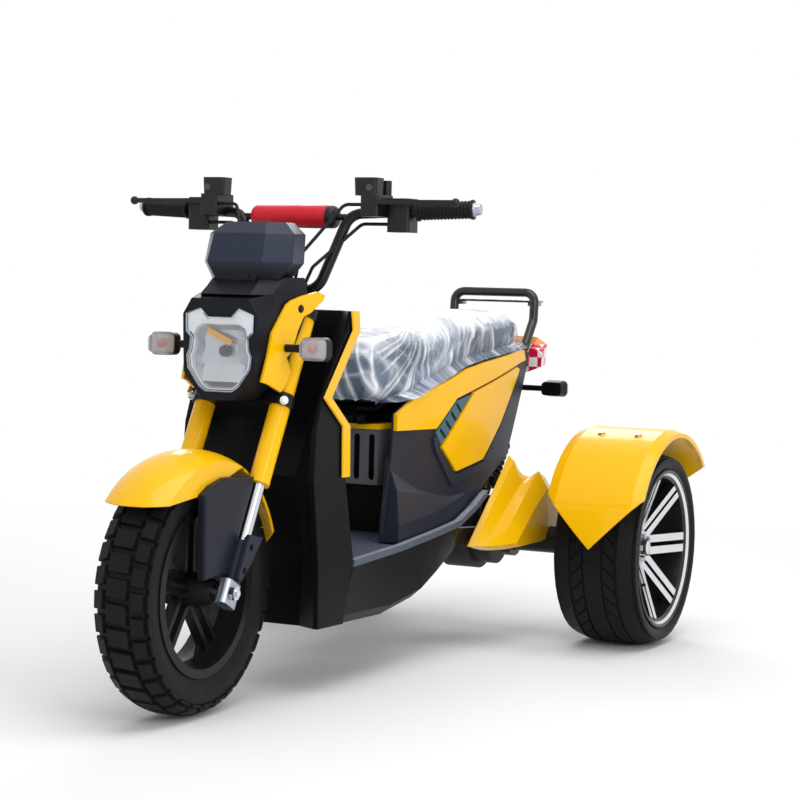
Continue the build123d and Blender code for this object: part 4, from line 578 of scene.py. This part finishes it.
# Grab hoop and rack: one bent black tube, with flat bars welded behind it and plated bright.
# The plated part begins where the bars leave the hoop.
RACK_START = -0.7975
rack_metal = finish(
    "rack_metal", (0.006, 0.006, 0.0075), 0.25, gloss=0.5, grain=180, depth=0.0001, edge=0.001,
)
rack_tree = rack_metal.node_tree
rack_plated = maths(rack_tree, "LESS_THAN", split(rack_tree, "Object")["X"], RACK_START)
paint_over(rack_metal, rack_plated, (0.30, 0.31, 0.33))
rack_tree.links.new(rack_plated, rack_tree.nodes["Principled BSDF"].inputs["Metallic"])
dress(rack_metal, "grab_rack")

# Tail lamp and rear signals: an orange strip over red and white reflector squares, and smoky signal
# lenses in black housings. The lamp is one moulding screwed to the tail bracket.
TAIL_STRIP = 0.690
TAIL_SQUARES = 44.0
tail_lens = finish("tail_lens", (0.62, 0.02, 0.025), 0.14, coat=0.6, grain=80, depth=0.0001)
tail_tree = tail_lens.node_tree
tail_check = tail_tree.nodes.new("ShaderNodeTexChecker")
tail_check.inputs["Scale"].default_value = TAIL_SQUARES
tail_check.inputs["Color1"].default_value = (0.62, 0.012, 0.05, 1.0)
tail_check.inputs["Color2"].default_value = (0.86, 0.80, 0.82, 1.0)
tail_coords = tail_tree.nodes.new("ShaderNodeTexCoord")
tail_tree.links.new(tail_coords.outputs["Object"], tail_check.inputs["Vector"])
tail_upper = maths(tail_tree, "GREATER_THAN", split(tail_tree, "Object")["Z"], TAIL_STRIP)
tail_film = next(node for node in tail_tree.nodes if node.type == "GROUP" and node.node_tree == road_dust)
tail_tree.links.new(tail_check.outputs["Color"], tail_film.inputs["Colour"])
paint_over(tail_lens, tail_upper, (0.95, 0.30, 0.04), under=tail_film.inputs["Colour"])
dress(tail_lens, "tail_lamp")
dress(black_plastic, "rear_signals")
smoky_lens = finish("smoky_lens", (0.30, 0.27, 0.24), 0.14, coat=0.6, grain=90, depth=0.0004)
dress(smoky_lens, "rear_signal_lenses")

# Seat: foam under black vinyl, stapled to the pan; it swells between its edges.
# A loft of rings gives the sewn cover, which is then blown up a little like stuffed cloth. Each ring is
# its place along the seat, its low and high edges and its half width.
SEAT_RINGS = [
    (0.046, 0.584, 0.634, 0.064), (0.030, 0.574, 0.676, 0.080), (0.006, 0.572, 0.699, 0.088),
    (-0.060, 0.597, 0.730, 0.109), (-0.120, 0.617, 0.741, 0.119), (-0.190, 0.635, 0.753, 0.128),
    (-0.300, 0.660, 0.763, 0.133), (-0.450, 0.676, 0.766, 0.131), (-0.600, 0.692, 0.766, 0.127),
    (-0.660, 0.700, 0.758, 0.113), (-0.690, 0.708, 0.747, 0.098),
]
SEAT_SIDES = 36
SEAT_CROWN = (0.55, 0.62)
SEAT_BASE = (0.28, 0.28)
SEAT_TAPER = 0.16
seat_form = bmesh.new()
seat_loops = []
for along, low, high, half in SEAT_RINGS:
    ring = bmesh.ops.create_circle(seat_form, segments=SEAT_SIDES, radius=1.0)["verts"]
    for count, vert in enumerate(ring):
        turn = 2 * math.pi * count / SEAT_SIDES
        round_side, round_rise = SEAT_CROWN if turn < math.pi else SEAT_BASE
        side = math.copysign(abs(math.cos(turn)) ** round_side, math.cos(turn))
        rise = math.copysign(abs(math.sin(turn)) ** round_rise, math.sin(turn))
        narrow = 1.0 - SEAT_TAPER * max(0.0, rise)
        vert.co = (along, half * side * narrow, (low + high) / 2 + (high - low) / 2 * rise)
    seat_loops.append(ring)
bridge_rings(seat_form, *seat_loops)
seat_ends = [edge for edge in seat_form.edges if len(edge.link_faces) == 1]
bmesh.ops.holes_fill(seat_form, edges=seat_ends, sides=0)
bmesh.ops.recalc_face_normals(seat_form, faces=seat_form.faces)
seat_vinyl = finish("seat_vinyl", (0.010, 0.011, 0.013), 0.4, grain=420, depth=0.0005)
seat_cover = shape(
    seat_form, "seat_cover", "seat", "seat_vinyl", seat_vinyl, crease=60, replaces=("seat",),
)
SEAT_SWELL = 0.006
STUFFING_PUSH = 4.0
STUFFING_FRAMES = 15


def apply_modifiers(piece):
    graph = bpy.context.evaluated_depsgraph_get()
    baked = bpy.data.meshes.new_from_object(piece.evaluated_get(graph))
    piece.modifiers.clear()
    old = piece.data
    piece.data = baked
    bpy.data.meshes.remove(old)


voxels = seat_cover.modifiers.new("voxels", "REMESH")
voxels.mode = "VOXEL"
voxels.voxel_size = 0.005
voxels.use_smooth_shade = True
apply_modifiers(seat_cover)
sewn = [vert.co.copy() for vert in seat_cover.data.vertices]
stuffing = seat_cover.modifiers.new("stuffing", "CLOTH")
stuffing.settings.use_pressure = True
stuffing.settings.uniform_pressure_force = STUFFING_PUSH
stuffing.settings.effector_weights.gravity = 0.0
stuffing.settings.quality = 4
for moment in range(1, STUFFING_FRAMES + 1):
    bpy.context.scene.frame_set(moment)
apply_modifiers(seat_cover)
bpy.context.scene.frame_set(1)
for vert, start in zip(seat_cover.data.vertices, sewn):
    move = vert.co - start
    if move.length > SEAT_SWELL:
        vert.co = start + move.normalized() * SEAT_SWELL

# Film round the seat: the clear wrap it was shipped in, pulled over the cover and let down on the panels.
# The cover's own skin is copied, let out a little and creased along the pull: in a fan at the nose,
# upright along the sides. Creases and level parts are kept as attributes: creases make the film whiter
# and less clear, partly the thicker film of a fold and partly painted highlight, and upward-facing level
# parts are painted white and more opaque as a painted reflection of the sky.
FILM_EDGE = [
    (0.05, 0.585), (0.0, 0.573), (-0.06, 0.598), (-0.12, 0.618), (-0.19, 0.636), (-0.30, 0.661),
    (-0.60, 0.693), (-0.70, 0.708),
]
PANEL_TOP = [
    (0.006, 0.552), (-0.054, 0.582), (-0.12, 0.603), (-0.20, 0.620), (-0.29, 0.644), (-0.387, 0.657),
    (-0.58, 0.675), (-0.64, 0.680), (-0.714, 0.672),
]
FILM_SPREAD = 0.151
FILM_REST = 0.004
FILM_GATHER = (-0.15, 0.745)
FILM_TRIM = 0.004
FILM_LIFT = 0.0015
FILM_CREASE = 0.0045
FILM_WRINKLE = 0.0010
FILM_BAND = 0.055


def line_height(line, along):
    for (x1, z1), (x2, z2) in zip(line, line[1:]):
        if along >= x2:
            share = min(1.0, max(0.0, (x1 - along) / (x1 - x2)))
            return z1 + (z2 - z1) * share
    return line[-1][1]


def limit(value):
    return min(1.0, max(0.0, value))


def ridge(place, sharp):
    return limit(1.0 - abs(noise.noise(place)) * sharp) ** 2.2


def beside_panel(along):
    return limit((-0.005 - along) / 0.06) * limit((along + 0.69) / 0.05)


film_form = bmesh.new()
film_form.from_mesh(seat_cover.data)
film_waste = [vert for vert in film_form.verts if vert.co.z < line_height(FILM_EDGE, vert.co.x) + FILM_TRIM]
bmesh.ops.delete(film_form, geom=film_waste, context="VERTS")
bmesh.ops.subdivide_edges(film_form, edges=film_form.edges, cuts=1, use_grid_fill=True)
film_form.normal_update()
film_crease = film_form.verts.layers.float.new("crease")
film_level = film_form.verts.layers.float.new("level")
for vert in film_form.verts:
    x, y, z = vert.co
    flank = math.copysign(1.0, y)
    steep = limit(1.5 * (1.0 - max(0.0, vert.normal.z)))
    fan = math.atan2(FILM_GATHER[1] - z, x - FILM_GATHER[0])
    reach = math.hypot(FILM_GATHER[1] - z, x - FILM_GATHER[0])
    nose = limit((x + 0.24) / 0.14)
    front = limit((x + 0.01) / 0.03)
    fanned = ridge(Vector((fan * 8.5, reach * 2.2, 4.0 * flank)), 3.6)
    hanging = ridge(Vector((y * 30.0 + z * 9.0, z * 4.0, 2.0)), 3.6)
    fanned = (1.0 - front) * fanned + front * hanging
    crossed = ridge(Vector((x * 12.0 - z * 15.0, x * 2.0, 9.0 * flank)), 4.0)
    sway = 1.6 * noise.noise(Vector((x * 7.0, z * 9.0, 2.0 * flank)))
    upright = ridge(
        Vector((x * 24.0 + z * 14.0 + sway, z * 7.0 + x * 3.0, 4.0 * flank)), 2.8,
    )
    upright *= 0.45 + 0.55 * limit(0.5 + 1.4 * noise.noise(Vector((x * 11.0, z * 17.0, y * 5.0))))
    fine = ridge(Vector((x * 46.0 + z * 30.0, z * 9.0 - x * 14.0, y * 6.0 + 7.0)), 3.4)
    pull = nose * max(fanned, 0.35 * crossed) + (1.0 - nose) * upright
    vert[film_crease] = limit((0.9 * pull + 0.3 * fine) * (0.4 + 0.6 * steep))
    vert[film_level] = limit((vert.normal.z - 0.35) / 0.5 + 0.22 * (1.0 - nose))
    low = limit(1.0 - (z - line_height(FILM_EDGE, x)) / FILM_BAND) ** 2 * beside_panel(x) * steep
    fold = (FILM_CREASE * pull + FILM_WRINKLE * fine) * (0.25 + 0.75 * steep)
    vert.co += vert.normal * (FILM_LIFT + fold)
    vert.co.y += flank * 0.6 * low * max(0.0, FILM_SPREAD - abs(vert.co.y))
film_rim = [edge for edge in film_form.edges if len(edge.link_faces) == 1]
for share in (0.5, 1.0):
    film_skirt = bmesh.ops.extrude_edge_only(film_form, edges=film_rim)["geom"]
    film_rim = [part for part in film_skirt if isinstance(part, bmesh.types.BMEdge)]
    for vert in (part for part in film_skirt if isinstance(part, bmesh.types.BMVert)):
        x, y, z = vert.co
        vert[film_level] = 0.0
        held = beside_panel(x)
        rest = line_height(PANEL_TOP, x) + FILM_REST + 0.0025 * abs(noise.noise(vert.co * 60.0))
        vert.co.z += share * held * min(0.0, rest - z) - (1.0 - held) * 0.002
        vert.co.y += math.copysign(share * held * max(0.0, FILM_SPREAD - abs(y)), y)
seat_film, film_tree, film_shader = bare_material("seat_film")
# Painted light: level parts are painted white and made more opaque as a painted reflection of the sky;
# creases are whitened and made more opaque, partly folded film and partly painted highlight.
FILM_CLEAR = (0.26, 0.33, 0.47, 1.0)
FILM_MILK_AND_SHINE = (0.93, 0.95, 0.98, 1.0)
FILM_GLOSS = 0.9
FILM_VEIL = (0.35, 0.65)
FILM_HAZE = (0.30, 0.56)
CREASE_HAZE_AND_HIGHLIGHT = 0.45
LEVEL_REFLECTION_ALPHA = 0.30
LEVEL_REFLECTION = 0.7
film_grain = use_group(film_tree, surface_grain, Grain=120.0, Rough=0.14, Spread=0.1)
film_tree.links.new(film_grain.outputs["Roughness"], film_shader.inputs["Roughness"])
film_shader.inputs["Specular IOR Level"].default_value = FILM_GLOSS
film_top = film_tree.nodes.new("ShaderNodeAttribute")
film_top.attribute_name = "level"
film_streak = film_tree.nodes.new("ShaderNodeAttribute")
film_streak.attribute_name = "crease"
film_veil = noise_field(film_tree, 9, detail=3)
film_haze = film_tree.nodes.new("ShaderNodeMapRange")
film_haze.inputs["From Min"].default_value, film_haze.inputs["From Max"].default_value = FILM_VEIL
film_haze.inputs["To Min"].default_value, film_haze.inputs["To Max"].default_value = FILM_HAZE
film_tree.links.new(film_veil.outputs["Fac"], film_haze.inputs["Value"])
film_alpha = maths(film_tree, "MULTIPLY", film_streak.outputs["Fac"], CREASE_HAZE_AND_HIGHLIGHT)
film_alpha = maths(film_tree, "ADD", film_alpha, film_haze.outputs["Result"])
film_flat = maths(film_tree, "MULTIPLY", film_top.outputs["Fac"], LEVEL_REFLECTION_ALPHA)
film_alpha = maths(film_tree, "ADD", film_alpha, film_flat)
film_view = film_tree.nodes.new("ShaderNodeLayerWeight")
film_view.inputs["Blend"].default_value = 0.35
film_sheen = maths(film_tree, "POWER", film_view.outputs["Facing"], 3.0)
film_sheen = maths(film_tree, "MULTIPLY", film_sheen, film_top.outputs["Fac"])
film_alpha = maths(film_tree, "ADD", film_alpha, film_sheen)
film_tree.links.new(film_alpha, film_shader.inputs["Alpha"])
film_mix = film_tree.nodes.new("ShaderNodeMix")
film_mix.data_type = "RGBA"
film_mix.inputs["A"].default_value = FILM_CLEAR
film_mix.inputs["B"].default_value = FILM_MILK_AND_SHINE
film_milk_and_shine = maths(film_tree, "MULTIPLY", film_top.outputs["Fac"], LEVEL_REFLECTION)
film_milk_and_shine = maths(film_tree, "ADD", film_streak.outputs["Fac"], film_milk_and_shine)
film_tree.links.new(maths(film_tree, "MINIMUM", film_milk_and_shine, 1.0), film_mix.inputs["Factor"])
film_tree.links.new(film_mix.outputs["Result"], film_shader.inputs["Base Color"])
film_bump = film_tree.nodes.new("ShaderNodeBump")
film_bump.inputs["Strength"].default_value = 0.5
film_bump.inputs["Distance"].default_value = 0.0012
film_tree.links.new(film_grain.outputs["Height"], film_bump.inputs["Height"])
film_tree.links.new(film_bump.outputs["Normal"], film_shader.inputs["Normal"])
film_wrap = shape(film_form, "film_wrap", "seat", "clear_lens", seat_film, crease=180)

# Fork: yellow outer tubes, chrome stanchions, dark lower legs and silver cast clamps round the axle.
# Black pressed yokes clamp the tubes, the lower one with a bolt at each side.
chrome = finish(
    "chrome", (0.66, 0.68, 0.70), 0.07, metal=1.0, grain=200, depth=0.00003, spread=0.05, dust=0.1,
)
silver_alloy = finish(
    "silver_alloy", (0.42, 0.47, 0.54), 0.3, metal=0.9, gloss=0.5, grain=500, depth=0.0003, dust=0.1,
    edge=0.003,
)
dress(yellow_gloss, "fork_tubes")
dress(chrome, "fork_stanchions", "front_axle")
dress(slate_plastic, "fork_lowers")
dress(silver_alloy, "axle_clamps")
dress(frame_paint, "yokes")
YOKE_BOLT_PLACE = (0.4690, 0.1052, 0.6005)
YOKE_BOLT_AXIS = (0.8, 0.6, 0.1)
yoke_bolts = bmesh.new()
stud_pair(yoke_bolts, YOKE_BOLT_PLACE, YOKE_BOLT_AXIS, radius=0.007, height=0.007, washer=0.009)
shape(yoke_bolts, "yoke_bolts", "steering", "steel", bright_steel)

# Front wheel: five split spokes cast in one with the rim and painted black, with a drilled steel brake
# disc bolted to the right side and a rubber valve pulled through the rim.
black_alloy = finish(
    "black_alloy", (0.006, 0.006, 0.0075), 0.34, gloss=0.16, grain=220, dust=0.03, edge=0.002,
)
dress(black_alloy, "front_rim")
dress(bright_steel, "front_disc")
FRONT_AXLE = (0.652, 0.0, 0.243)
FRONT_VALVE_FOOT = Vector((-0.020, 0.012, -0.142))
front_valve = bmesh.new()
stud(
    front_valve, Vector(FRONT_AXLE) + FRONT_VALVE_FOOT, (0.13, 0.25, 1.0),
    radius=0.0042, height=0.034, sides=12,
)
shape(front_valve, "front_valve", "front_wheel", "tyre", tyre_rubber)

# Front tyre: tall rubber blocks for soft ground, stepped across the crown and wrapped over the
# shoulders. It is moulded in one and sits on the rim by its beads; made as the rear tyres are.
FRONT_COLUMNS = [-1.22, -0.98, -0.52, -0.45, 0.45, 0.52, 0.98, 1.22]
FRONT_BLOCKS = (0, 1, 3, 5, 6)
FRONT_TREAD = 0.0085
FRONT_SIDEWALL = [
    (0.2140, 0.0555), (0.2080, 0.0566), (0.1960, 0.0573), (0.1830, 0.0545), (0.1730, 0.0490),
    (0.1690, 0.0470), (0.1560, 0.0434),
]
FRONT_PITCHES = 32
FRONT_CUT = 0.2
FRONT_TOP = 0.243
FRONT_SHOULDER = (0.228, 0.055)
FRONT_LEAN = 0.54
CROWN_CLEAR = 0.0004


def front_crown(across):
    size = abs(across)
    if size <= 1.0:
        radius, offset = FRONT_TOP - 0.015 * size ** 2, FRONT_SHOULDER[1] * size
        lean = FRONT_LEAN * size
    else:
        part = (size - 1.0) / 0.25
        radius, offset = FRONT_SHOULDER[0] - 0.012 * part, FRONT_SHOULDER[1] + 0.003 * part
        lean = FRONT_LEAN + 0.75 * part
    return (
        radius - FRONT_TREAD * math.cos(lean) - CROWN_CLEAR,
        math.copysign(offset - FRONT_TREAD * math.sin(lean) * 0.9, across),
    )


def front_slant(across):
    return 0.10 * across if abs(across) < 0.48 else 0.42 + 0.12 * abs(across)


front_tread = block_tyre(
    FRONT_AXLE, FRONT_PITCHES, FRONT_CUT, FRONT_COLUMNS, FRONT_BLOCKS, (), front_crown, front_slant,
    FRONT_SIDEWALL, FRONT_TREAD,
)
shape(front_tread, "front_wheel_tread", "front_wheel", "tyre", tyre_rubber, replaces=("front_tyre",))

# Front fender and fork guards: the beak over the wheel is sprayed yellow like the body.
# The dark moulded guards before the legs are screwed to the fender and to the lower fork.
dress(yellow_gloss, "front_fender")
guard_plastic = finish(
    "guard_plastic", (0.012, 0.014, 0.024), 0.34, gloss=0.14, grain=1100, dust=0.02, edge=0.005,
)
dress(guard_plastic, "fork_guards")

# Lamp mask, cheeks and visor: dark grey mouldings screwed from the front, with cheeks sprayed yellow.
# The visor darkens at its foot; a small meter glass is set in its back, facing the rider.
mask_plastic = finish(
    "mask_plastic", (0.006, 0.007, 0.011), 0.34, gloss=0.14, grain=1000, dust=0.03, edge=0.003,
)
visor_plastic = finish(
    "visor_plastic", (0.018, 0.025, 0.045), 0.3, gloss=0.2, grain=1000, dust=0.0, edge=0.005,
)
VISOR_FOOT = (0.872, 0.848)
visor_tree = visor_plastic.node_tree
visor_foot = visor_tree.nodes.new("ShaderNodeMapRange")
visor_foot.inputs["From Min"].default_value = VISOR_FOOT[0]
visor_foot.inputs["From Max"].default_value = VISOR_FOOT[1]
visor_tree.links.new(split(visor_tree, "Object")["Z"], visor_foot.inputs["Value"])
paint_over(visor_plastic, visor_foot.outputs["Result"], (0.005, 0.005, 0.009))
dress(mask_plastic, "headlamp_mask")
dress(visor_plastic, "instrument_visor")
dress(yellow_gloss, "mask_cheeks")
MASK_SCREWS = [
    ((0.417, 0.1096, 0.779), (0.15, 1, 0), 0.0055), ((0.417, -0.1096, 0.779), (0.15, -1, 0), 0.0055),
    ((0.4880, 0.027, 0.841), (1, 0, -0.2), 0.0042), ((0.4785, -0.018, 0.816), (1, 0, -0.45), 0.0042),
]
mask_screws = bmesh.new()
for place, axis, radius in MASK_SCREWS:
    stud(mask_screws, place, axis, radius, height=0.004, sides=16, washer=1.5 * radius)
shape(mask_screws, "mask_screws", "steering", "black_plastic", frame_paint)
METER_PLACE = Matrix.Translation((0.3554, 0, 0.902)) @ Matrix.Rotation(-math.pi / 2, 4, "Y")
METER_SIZE = Matrix.Diagonal((0.044, 0.1, 1, 1))
meter_form = bmesh.new()
bmesh.ops.create_grid(meter_form, x_segments=1, y_segments=1, size=0.5, matrix=METER_PLACE @ METER_SIZE)
meter_glass = finish(
    "meter_glass", (0.010, 0.014, 0.018), 0.06, coat=0.6, gloss=0.6, grain=40, depth=0.00002,
)
shape(meter_form, "meter_glass", "steering", "clear_lens", meter_glass)

# Headlamp: a clear moulded lens screwed over a pale bezel; behind the bezel's window stands a grey
# reflector with a bright shelf under one bulb and an amber strip above it. Outlines are half widths
# and heights from the crown down to the chin.
LAMP_HALF = [
    (0.0, 0.761), (0.027, 0.761), (0.044, 0.778), (0.076, 0.766), (0.075, 0.731), (0.065, 0.721),
    (0.067, 0.698), (0.073, 0.685), (0.070, 0.660), (0.044, 0.624), (0.028, 0.614), (0.0, 0.614),
]
WINDOW_HALF = [
    (0.0, 0.746), (0.024, 0.747), (0.041, 0.747), (0.055, 0.739), (0.060, 0.724), (0.057, 0.712),
    (0.058, 0.698), (0.064, 0.685), (0.061, 0.662), (0.039, 0.630), (0.025, 0.621), (0.0, 0.621),
]
LAMP_MIDDLE = 0.690


def lamp_form(*rings, closed=True):
    form = bmesh.new()
    loops = []
    for count, (along, half, shrink) in enumerate(rings, start=1):
        right = [(y * shrink, LAMP_MIDDLE + (z - LAMP_MIDDLE) * shrink) for y, z in half]
        around = right + [(-y, z) for y, z in reversed(right) if y > 0]
        fill = closed and count == len(rings)
        ring = bmesh.ops.create_circle(form, segments=len(around), radius=1.0, cap_ends=fill)["verts"]
        for vert, (y, z) in zip(ring, around):
            vert.co = (along, y, z)
        loops.append(ring)
    bridge_rings(form, *loops)
    bmesh.ops.recalc_face_normals(form, faces=form.faces)
    return form


lens_form = lamp_form((0.5404, LAMP_HALF, 1.0), (0.5460, LAMP_HALF, 0.995), (0.5496, LAMP_HALF, 0.93))
LENS_FACING = 0.10
LENS_EDGE_ON = 0.85
clear_lens, clear_tree, clear_shader = bare_material("clear_lens")
clear_shader.inputs["Base Color"].default_value = (0.90, 0.94, 0.98, 1.0)
clear_shader.inputs["Specular IOR Level"].default_value = 0.8
clear_grain = use_group(clear_tree, surface_grain, Grain=60.0, Rough=0.05, Spread=0.03)
clear_tree.links.new(clear_grain.outputs["Roughness"], clear_shader.inputs["Roughness"])
clear_view = clear_tree.nodes.new("ShaderNodeLayerWeight")
clear_view.inputs["Blend"].default_value = 0.3
clear_alpha = clear_tree.nodes.new("ShaderNodeMapRange")
clear_alpha.inputs["To Min"].default_value = LENS_FACING
clear_alpha.inputs["To Max"].default_value = LENS_EDGE_ON
clear_tree.links.new(clear_view.outputs["Fresnel"], clear_alpha.inputs["Value"])
clear_tree.links.new(clear_alpha.outputs["Result"], clear_shader.inputs["Alpha"])
shape(
    lens_form, "lamp_lens", "steering", "clear_lens", clear_lens, crease=25, replaces=("headlamp_lens",),
)

WINDOW_WALL = (0.5320, WINDOW_HALF, 0.96)
bezel_form = lamp_form((0.5400, LAMP_HALF, 0.985), (0.5390, WINDOW_HALF, 1.0), WINDOW_WALL, closed=False)
lamp_white = finish(
    "lamp_white", (0.90, 0.94, 0.98), 0.2, metal=0.15, gloss=0.6, grain=50, depth=0.0004,
)
shape(bezel_form, "lamp_bezel", "steering", "lamp_bowl", lamp_white, crease=20)

reflector_form = lamp_form(WINDOW_WALL, (0.5180, WINDOW_HALF, 0.80), (0.5135, WINDOW_HALF, 0.45))
lamp_grey = finish("lamp_grey", (0.52, 0.56, 0.63), 0.2, metal=0.5, gloss=0.6, grain=60, depth=0.002)
shape(reflector_form, "lamp_reflector", "steering", "lamp_bowl", lamp_grey, crease=20)
SHELF_TILT = Matrix.Translation((0.5250, 0.0, 0.654)) @ Matrix.Rotation(math.radians(58), 4, "Y")
SHELF_SIZE = Matrix.Diagonal((0.046, 0.092, 1.0, 1.0))
shelf_form = bmesh.new()
bmesh.ops.create_grid(shelf_form, x_segments=1, y_segments=4, size=0.5, matrix=SHELF_TILT @ SHELF_SIZE)
shape(shelf_form, "lamp_shelf", "steering", "lamp_bowl", lamp_white)
dress(black_plastic, "headlamp_bowl")
BULB_HEIGHT = LAMP_MIDDLE + 0.004
bulb_form = bmesh.new()
stud(bulb_form, (0.5150, 0.0, BULB_HEIGHT), (1, 0, 0), radius=0.0125, height=0.010, sides=24)
stud(bulb_form, (0.5250, 0.0, BULB_HEIGHT), (1, 0, 0), radius=0.0075, height=0.005, sides=24)
shape(bulb_form, "lamp_bulb", "steering", "chrome", coil_black)
AMBER_TILT = Matrix.Translation((0.5240, -0.012, 0.722)) @ Matrix.Rotation(math.radians(-24), 4, "X")
AMBER_SIZE = Matrix.Diagonal((0.003, 0.058, 0.0125, 1.0))
strip_form = bmesh.new()
bmesh.ops.create_cube(strip_form, size=1.0, matrix=AMBER_TILT @ AMBER_SIZE)
amber_plastic = finish("amber_plastic", (0.98, 0.46, 0.02), 0.25, coat=0.4, grain=200, depth=0.0001)
shape(strip_form, "lamp_strip", "steering", "amber_lens", amber_plastic)

# Front signals: dark moulded housings on rubber stalks that come out of the mask.
# A clear lens clips over a pale reflector and a pink-red bulb.
dress(mask_plastic, "front_signals")
SIGNAL_PLACE = (0.4762, 0.172, 0.702)
SIGNAL_FACING = 0.30
SIGNAL_TINT = (0.64, 0.59, 0.61, 1.0)
DISH_SIZE = Matrix.Rotation(math.pi / 2, 4, "Y") @ Matrix.Diagonal((0.034, 0.050, 1.0, 1.0))
BULB_AHEAD = Matrix.Translation((0.008, 0, 0))
BULB_RADIUS = 0.0085
signal_lens = clear_lens.copy()
signal_lens.name = "signal_lens"
signal_nodes = signal_lens.node_tree.nodes
signal_clear = next(node for node in signal_nodes if node.type == "MAP_RANGE")
signal_clear.inputs["To Min"].default_value = SIGNAL_FACING
signal_nodes["Principled BSDF"].inputs["Base Color"].default_value = SIGNAL_TINT
dress(signal_lens, "front_signal_lenses")
signal_dishes = bmesh.new()
signal_bulbs = bmesh.new()
for side in (1, -1):
    place = Matrix.Translation((SIGNAL_PLACE[0], side * SIGNAL_PLACE[1], SIGNAL_PLACE[2]))
    bmesh.ops.create_grid(signal_dishes, x_segments=1, y_segments=1, size=0.5, matrix=place @ DISH_SIZE)
    bmesh.ops.create_uvsphere(
        signal_bulbs, u_segments=20, v_segments=10, radius=BULB_RADIUS, matrix=place @ BULB_AHEAD,
    )
shape(signal_dishes, "signal_dishes", "steering", "lamp_bowl", lamp_grey)
pink_glass = finish("pink_glass", (0.72, 0.16, 0.15), 0.12, coat=0.5, grain=150, depth=0.0001)
shape(signal_bulbs, "signal_bulbs", "steering", "amber_lens", pink_glass)

# Handlebar: bent steel tube painted black, with a turned alloy weight screwed into each end.
# Black cast controls clamp round it: a brake reservoir with a round sight glass and a switch box with
# three buttons on each side.
dress(frame_paint, "handlebar")
control_black = finish(
    "control_black", (0.0075, 0.0075, 0.009), 0.34, gloss=0.3, grain=700, dust=0.03, edge=0.0025,
)
dress(control_black, "switch_housings", "brake_controls")
BAR_TIP = Vector((0.209, 0.384, 0.984))
BAR_RUN = Vector((0.037, -0.259, -0.012)).normalized()
SIGHT_PLACE = (0.2868, 0.188, 1.024)
BUTTONS = [(0.2005, 0.225, 0.986), (0.2005, 0.240, 0.974), (0.2005, 0.222, 0.966)]
WEIGHT_GAP = 0.0005
bar_weights = bmesh.new()
stud_pair(
    bar_weights, BAR_TIP - BAR_RUN * WEIGHT_GAP, -BAR_RUN, radius=0.0125, height=0.014, sides=24,
    washer=0.0150,
)
sight_glasses = bmesh.new()
stud_pair(sight_glasses, SIGHT_PLACE, (1, 0, 0), radius=0.0055, height=0.0022, sides=20, washer=0.0075)
switch_buttons = bmesh.new()
for button in BUTTONS:
    stud_pair(switch_buttons, button, (-1, 0, 0), radius=0.0048, height=0.004, sides=16)
shape(bar_weights, "bar_weights", "steering", "silver_alloy", silver_alloy)
shape(sight_glasses, "sight_glasses", "steering", "clear_lens", meter_glass)
shape(switch_buttons, "switch_buttons", "steering", "red_pad", amber_plastic)

# Grips and control cables: soft black rubber. The grips are pushed over the bar's ends and moulded with
# rings that stand out of the sleeve; the cables run from the controls down to the upper yoke.
grip_rubber = finish("grip_rubber", (0.008, 0.008, 0.009), 0.6, grain=500, depth=0.0004, dust=0.03)
dress(grip_rubber, "grips", "control_cables")
GRIP_RINGS = 14
GRIP_START = 0.010
GRIP_STEP = 0.0072
grip_rings = bmesh.new()
for count in range(GRIP_RINGS):
    ring_place = BAR_TIP + BAR_RUN * (GRIP_START + GRIP_STEP * count)
    stud_pair(grip_rings, ring_place, BAR_RUN, radius=0.0186, height=0.0036, sides=28)
shape(grip_rings, "grip_rings", "steering", "grip_rubber", grip_rubber)

# Crossbar pad: a foam tube in a red sewn sleeve, drawn in at both ends, bound in black at the left
# end and black over a broad band of its underside round the seam. The sleeve is a grid rolled round the bar
# and closed along that seam underneath.
PAD_PLACE = (0.248, 0.0, 0.965)
PAD_HALF = 0.0975
PAD_RADIUS = 0.0244
PAD_PUCKER = 0.0007
PAD_BOUND = 0.078
SEAM_DROP = 0.0195
pad_form = bmesh.new()
bmesh.ops.create_grid(pad_form, x_segments=64, y_segments=48, size=1.0)
for vert in pad_form.verts:
    around, along = (vert.co.x + 1) * math.pi, vert.co.y
    draw_in = max(0.0, (abs(along) - 0.90) / 0.10)
    seam = math.exp(-((min(around, 2 * math.pi - around) / 0.12) ** 2))
    pucker = noise.noise(Vector((math.cos(around) * 1.4, along * 4.5, math.sin(around) * 1.4)))
    swell = PAD_RADIUS * (0.972 - 0.30 * draw_in ** 2 - 0.07 * seam) + PAD_PUCKER * pucker
    vert.co = (
        PAD_PLACE[0] - swell * math.sin(around), PAD_PLACE[1] + PAD_HALF * along,
        PAD_PLACE[2] - swell * math.cos(around),
    )
bmesh.ops.remove_doubles(pad_form, verts=pad_form.verts, dist=0.00005)
pad_ends = [edge for edge in pad_form.edges if len(edge.link_faces) == 1]
bmesh.ops.holes_fill(pad_form, edges=pad_ends, sides=0)
bmesh.ops.recalc_face_normals(pad_form, faces=pad_form.faces)
red_sleeve = finish(
    "red_sleeve", (0.58, 0.010, 0.022), 0.42, gloss=0.3, grain=900, depth=0.0003, dust=0.02,
)
sleeve_tree = red_sleeve.node_tree
sleeve_place = split(sleeve_tree, "Object")
# The left end and a broad band of the underside round the seam are painted black.
sleeve_end = maths(sleeve_tree, "GREATER_THAN", sleeve_place["Y"], PAD_BOUND)
sleeve_under = maths(sleeve_tree, "LESS_THAN", sleeve_place["Z"], PAD_PLACE[2] - SEAM_DROP)
paint_over(red_sleeve, maths(sleeve_tree, "MAXIMUM", sleeve_end, sleeve_under), (0.007, 0.007, 0.008))
pad_sleeve = shape(
    pad_form, "pad_sleeve", "steering", "red_pad", red_sleeve, crease=60, replaces=("crossbar_pad",),
)
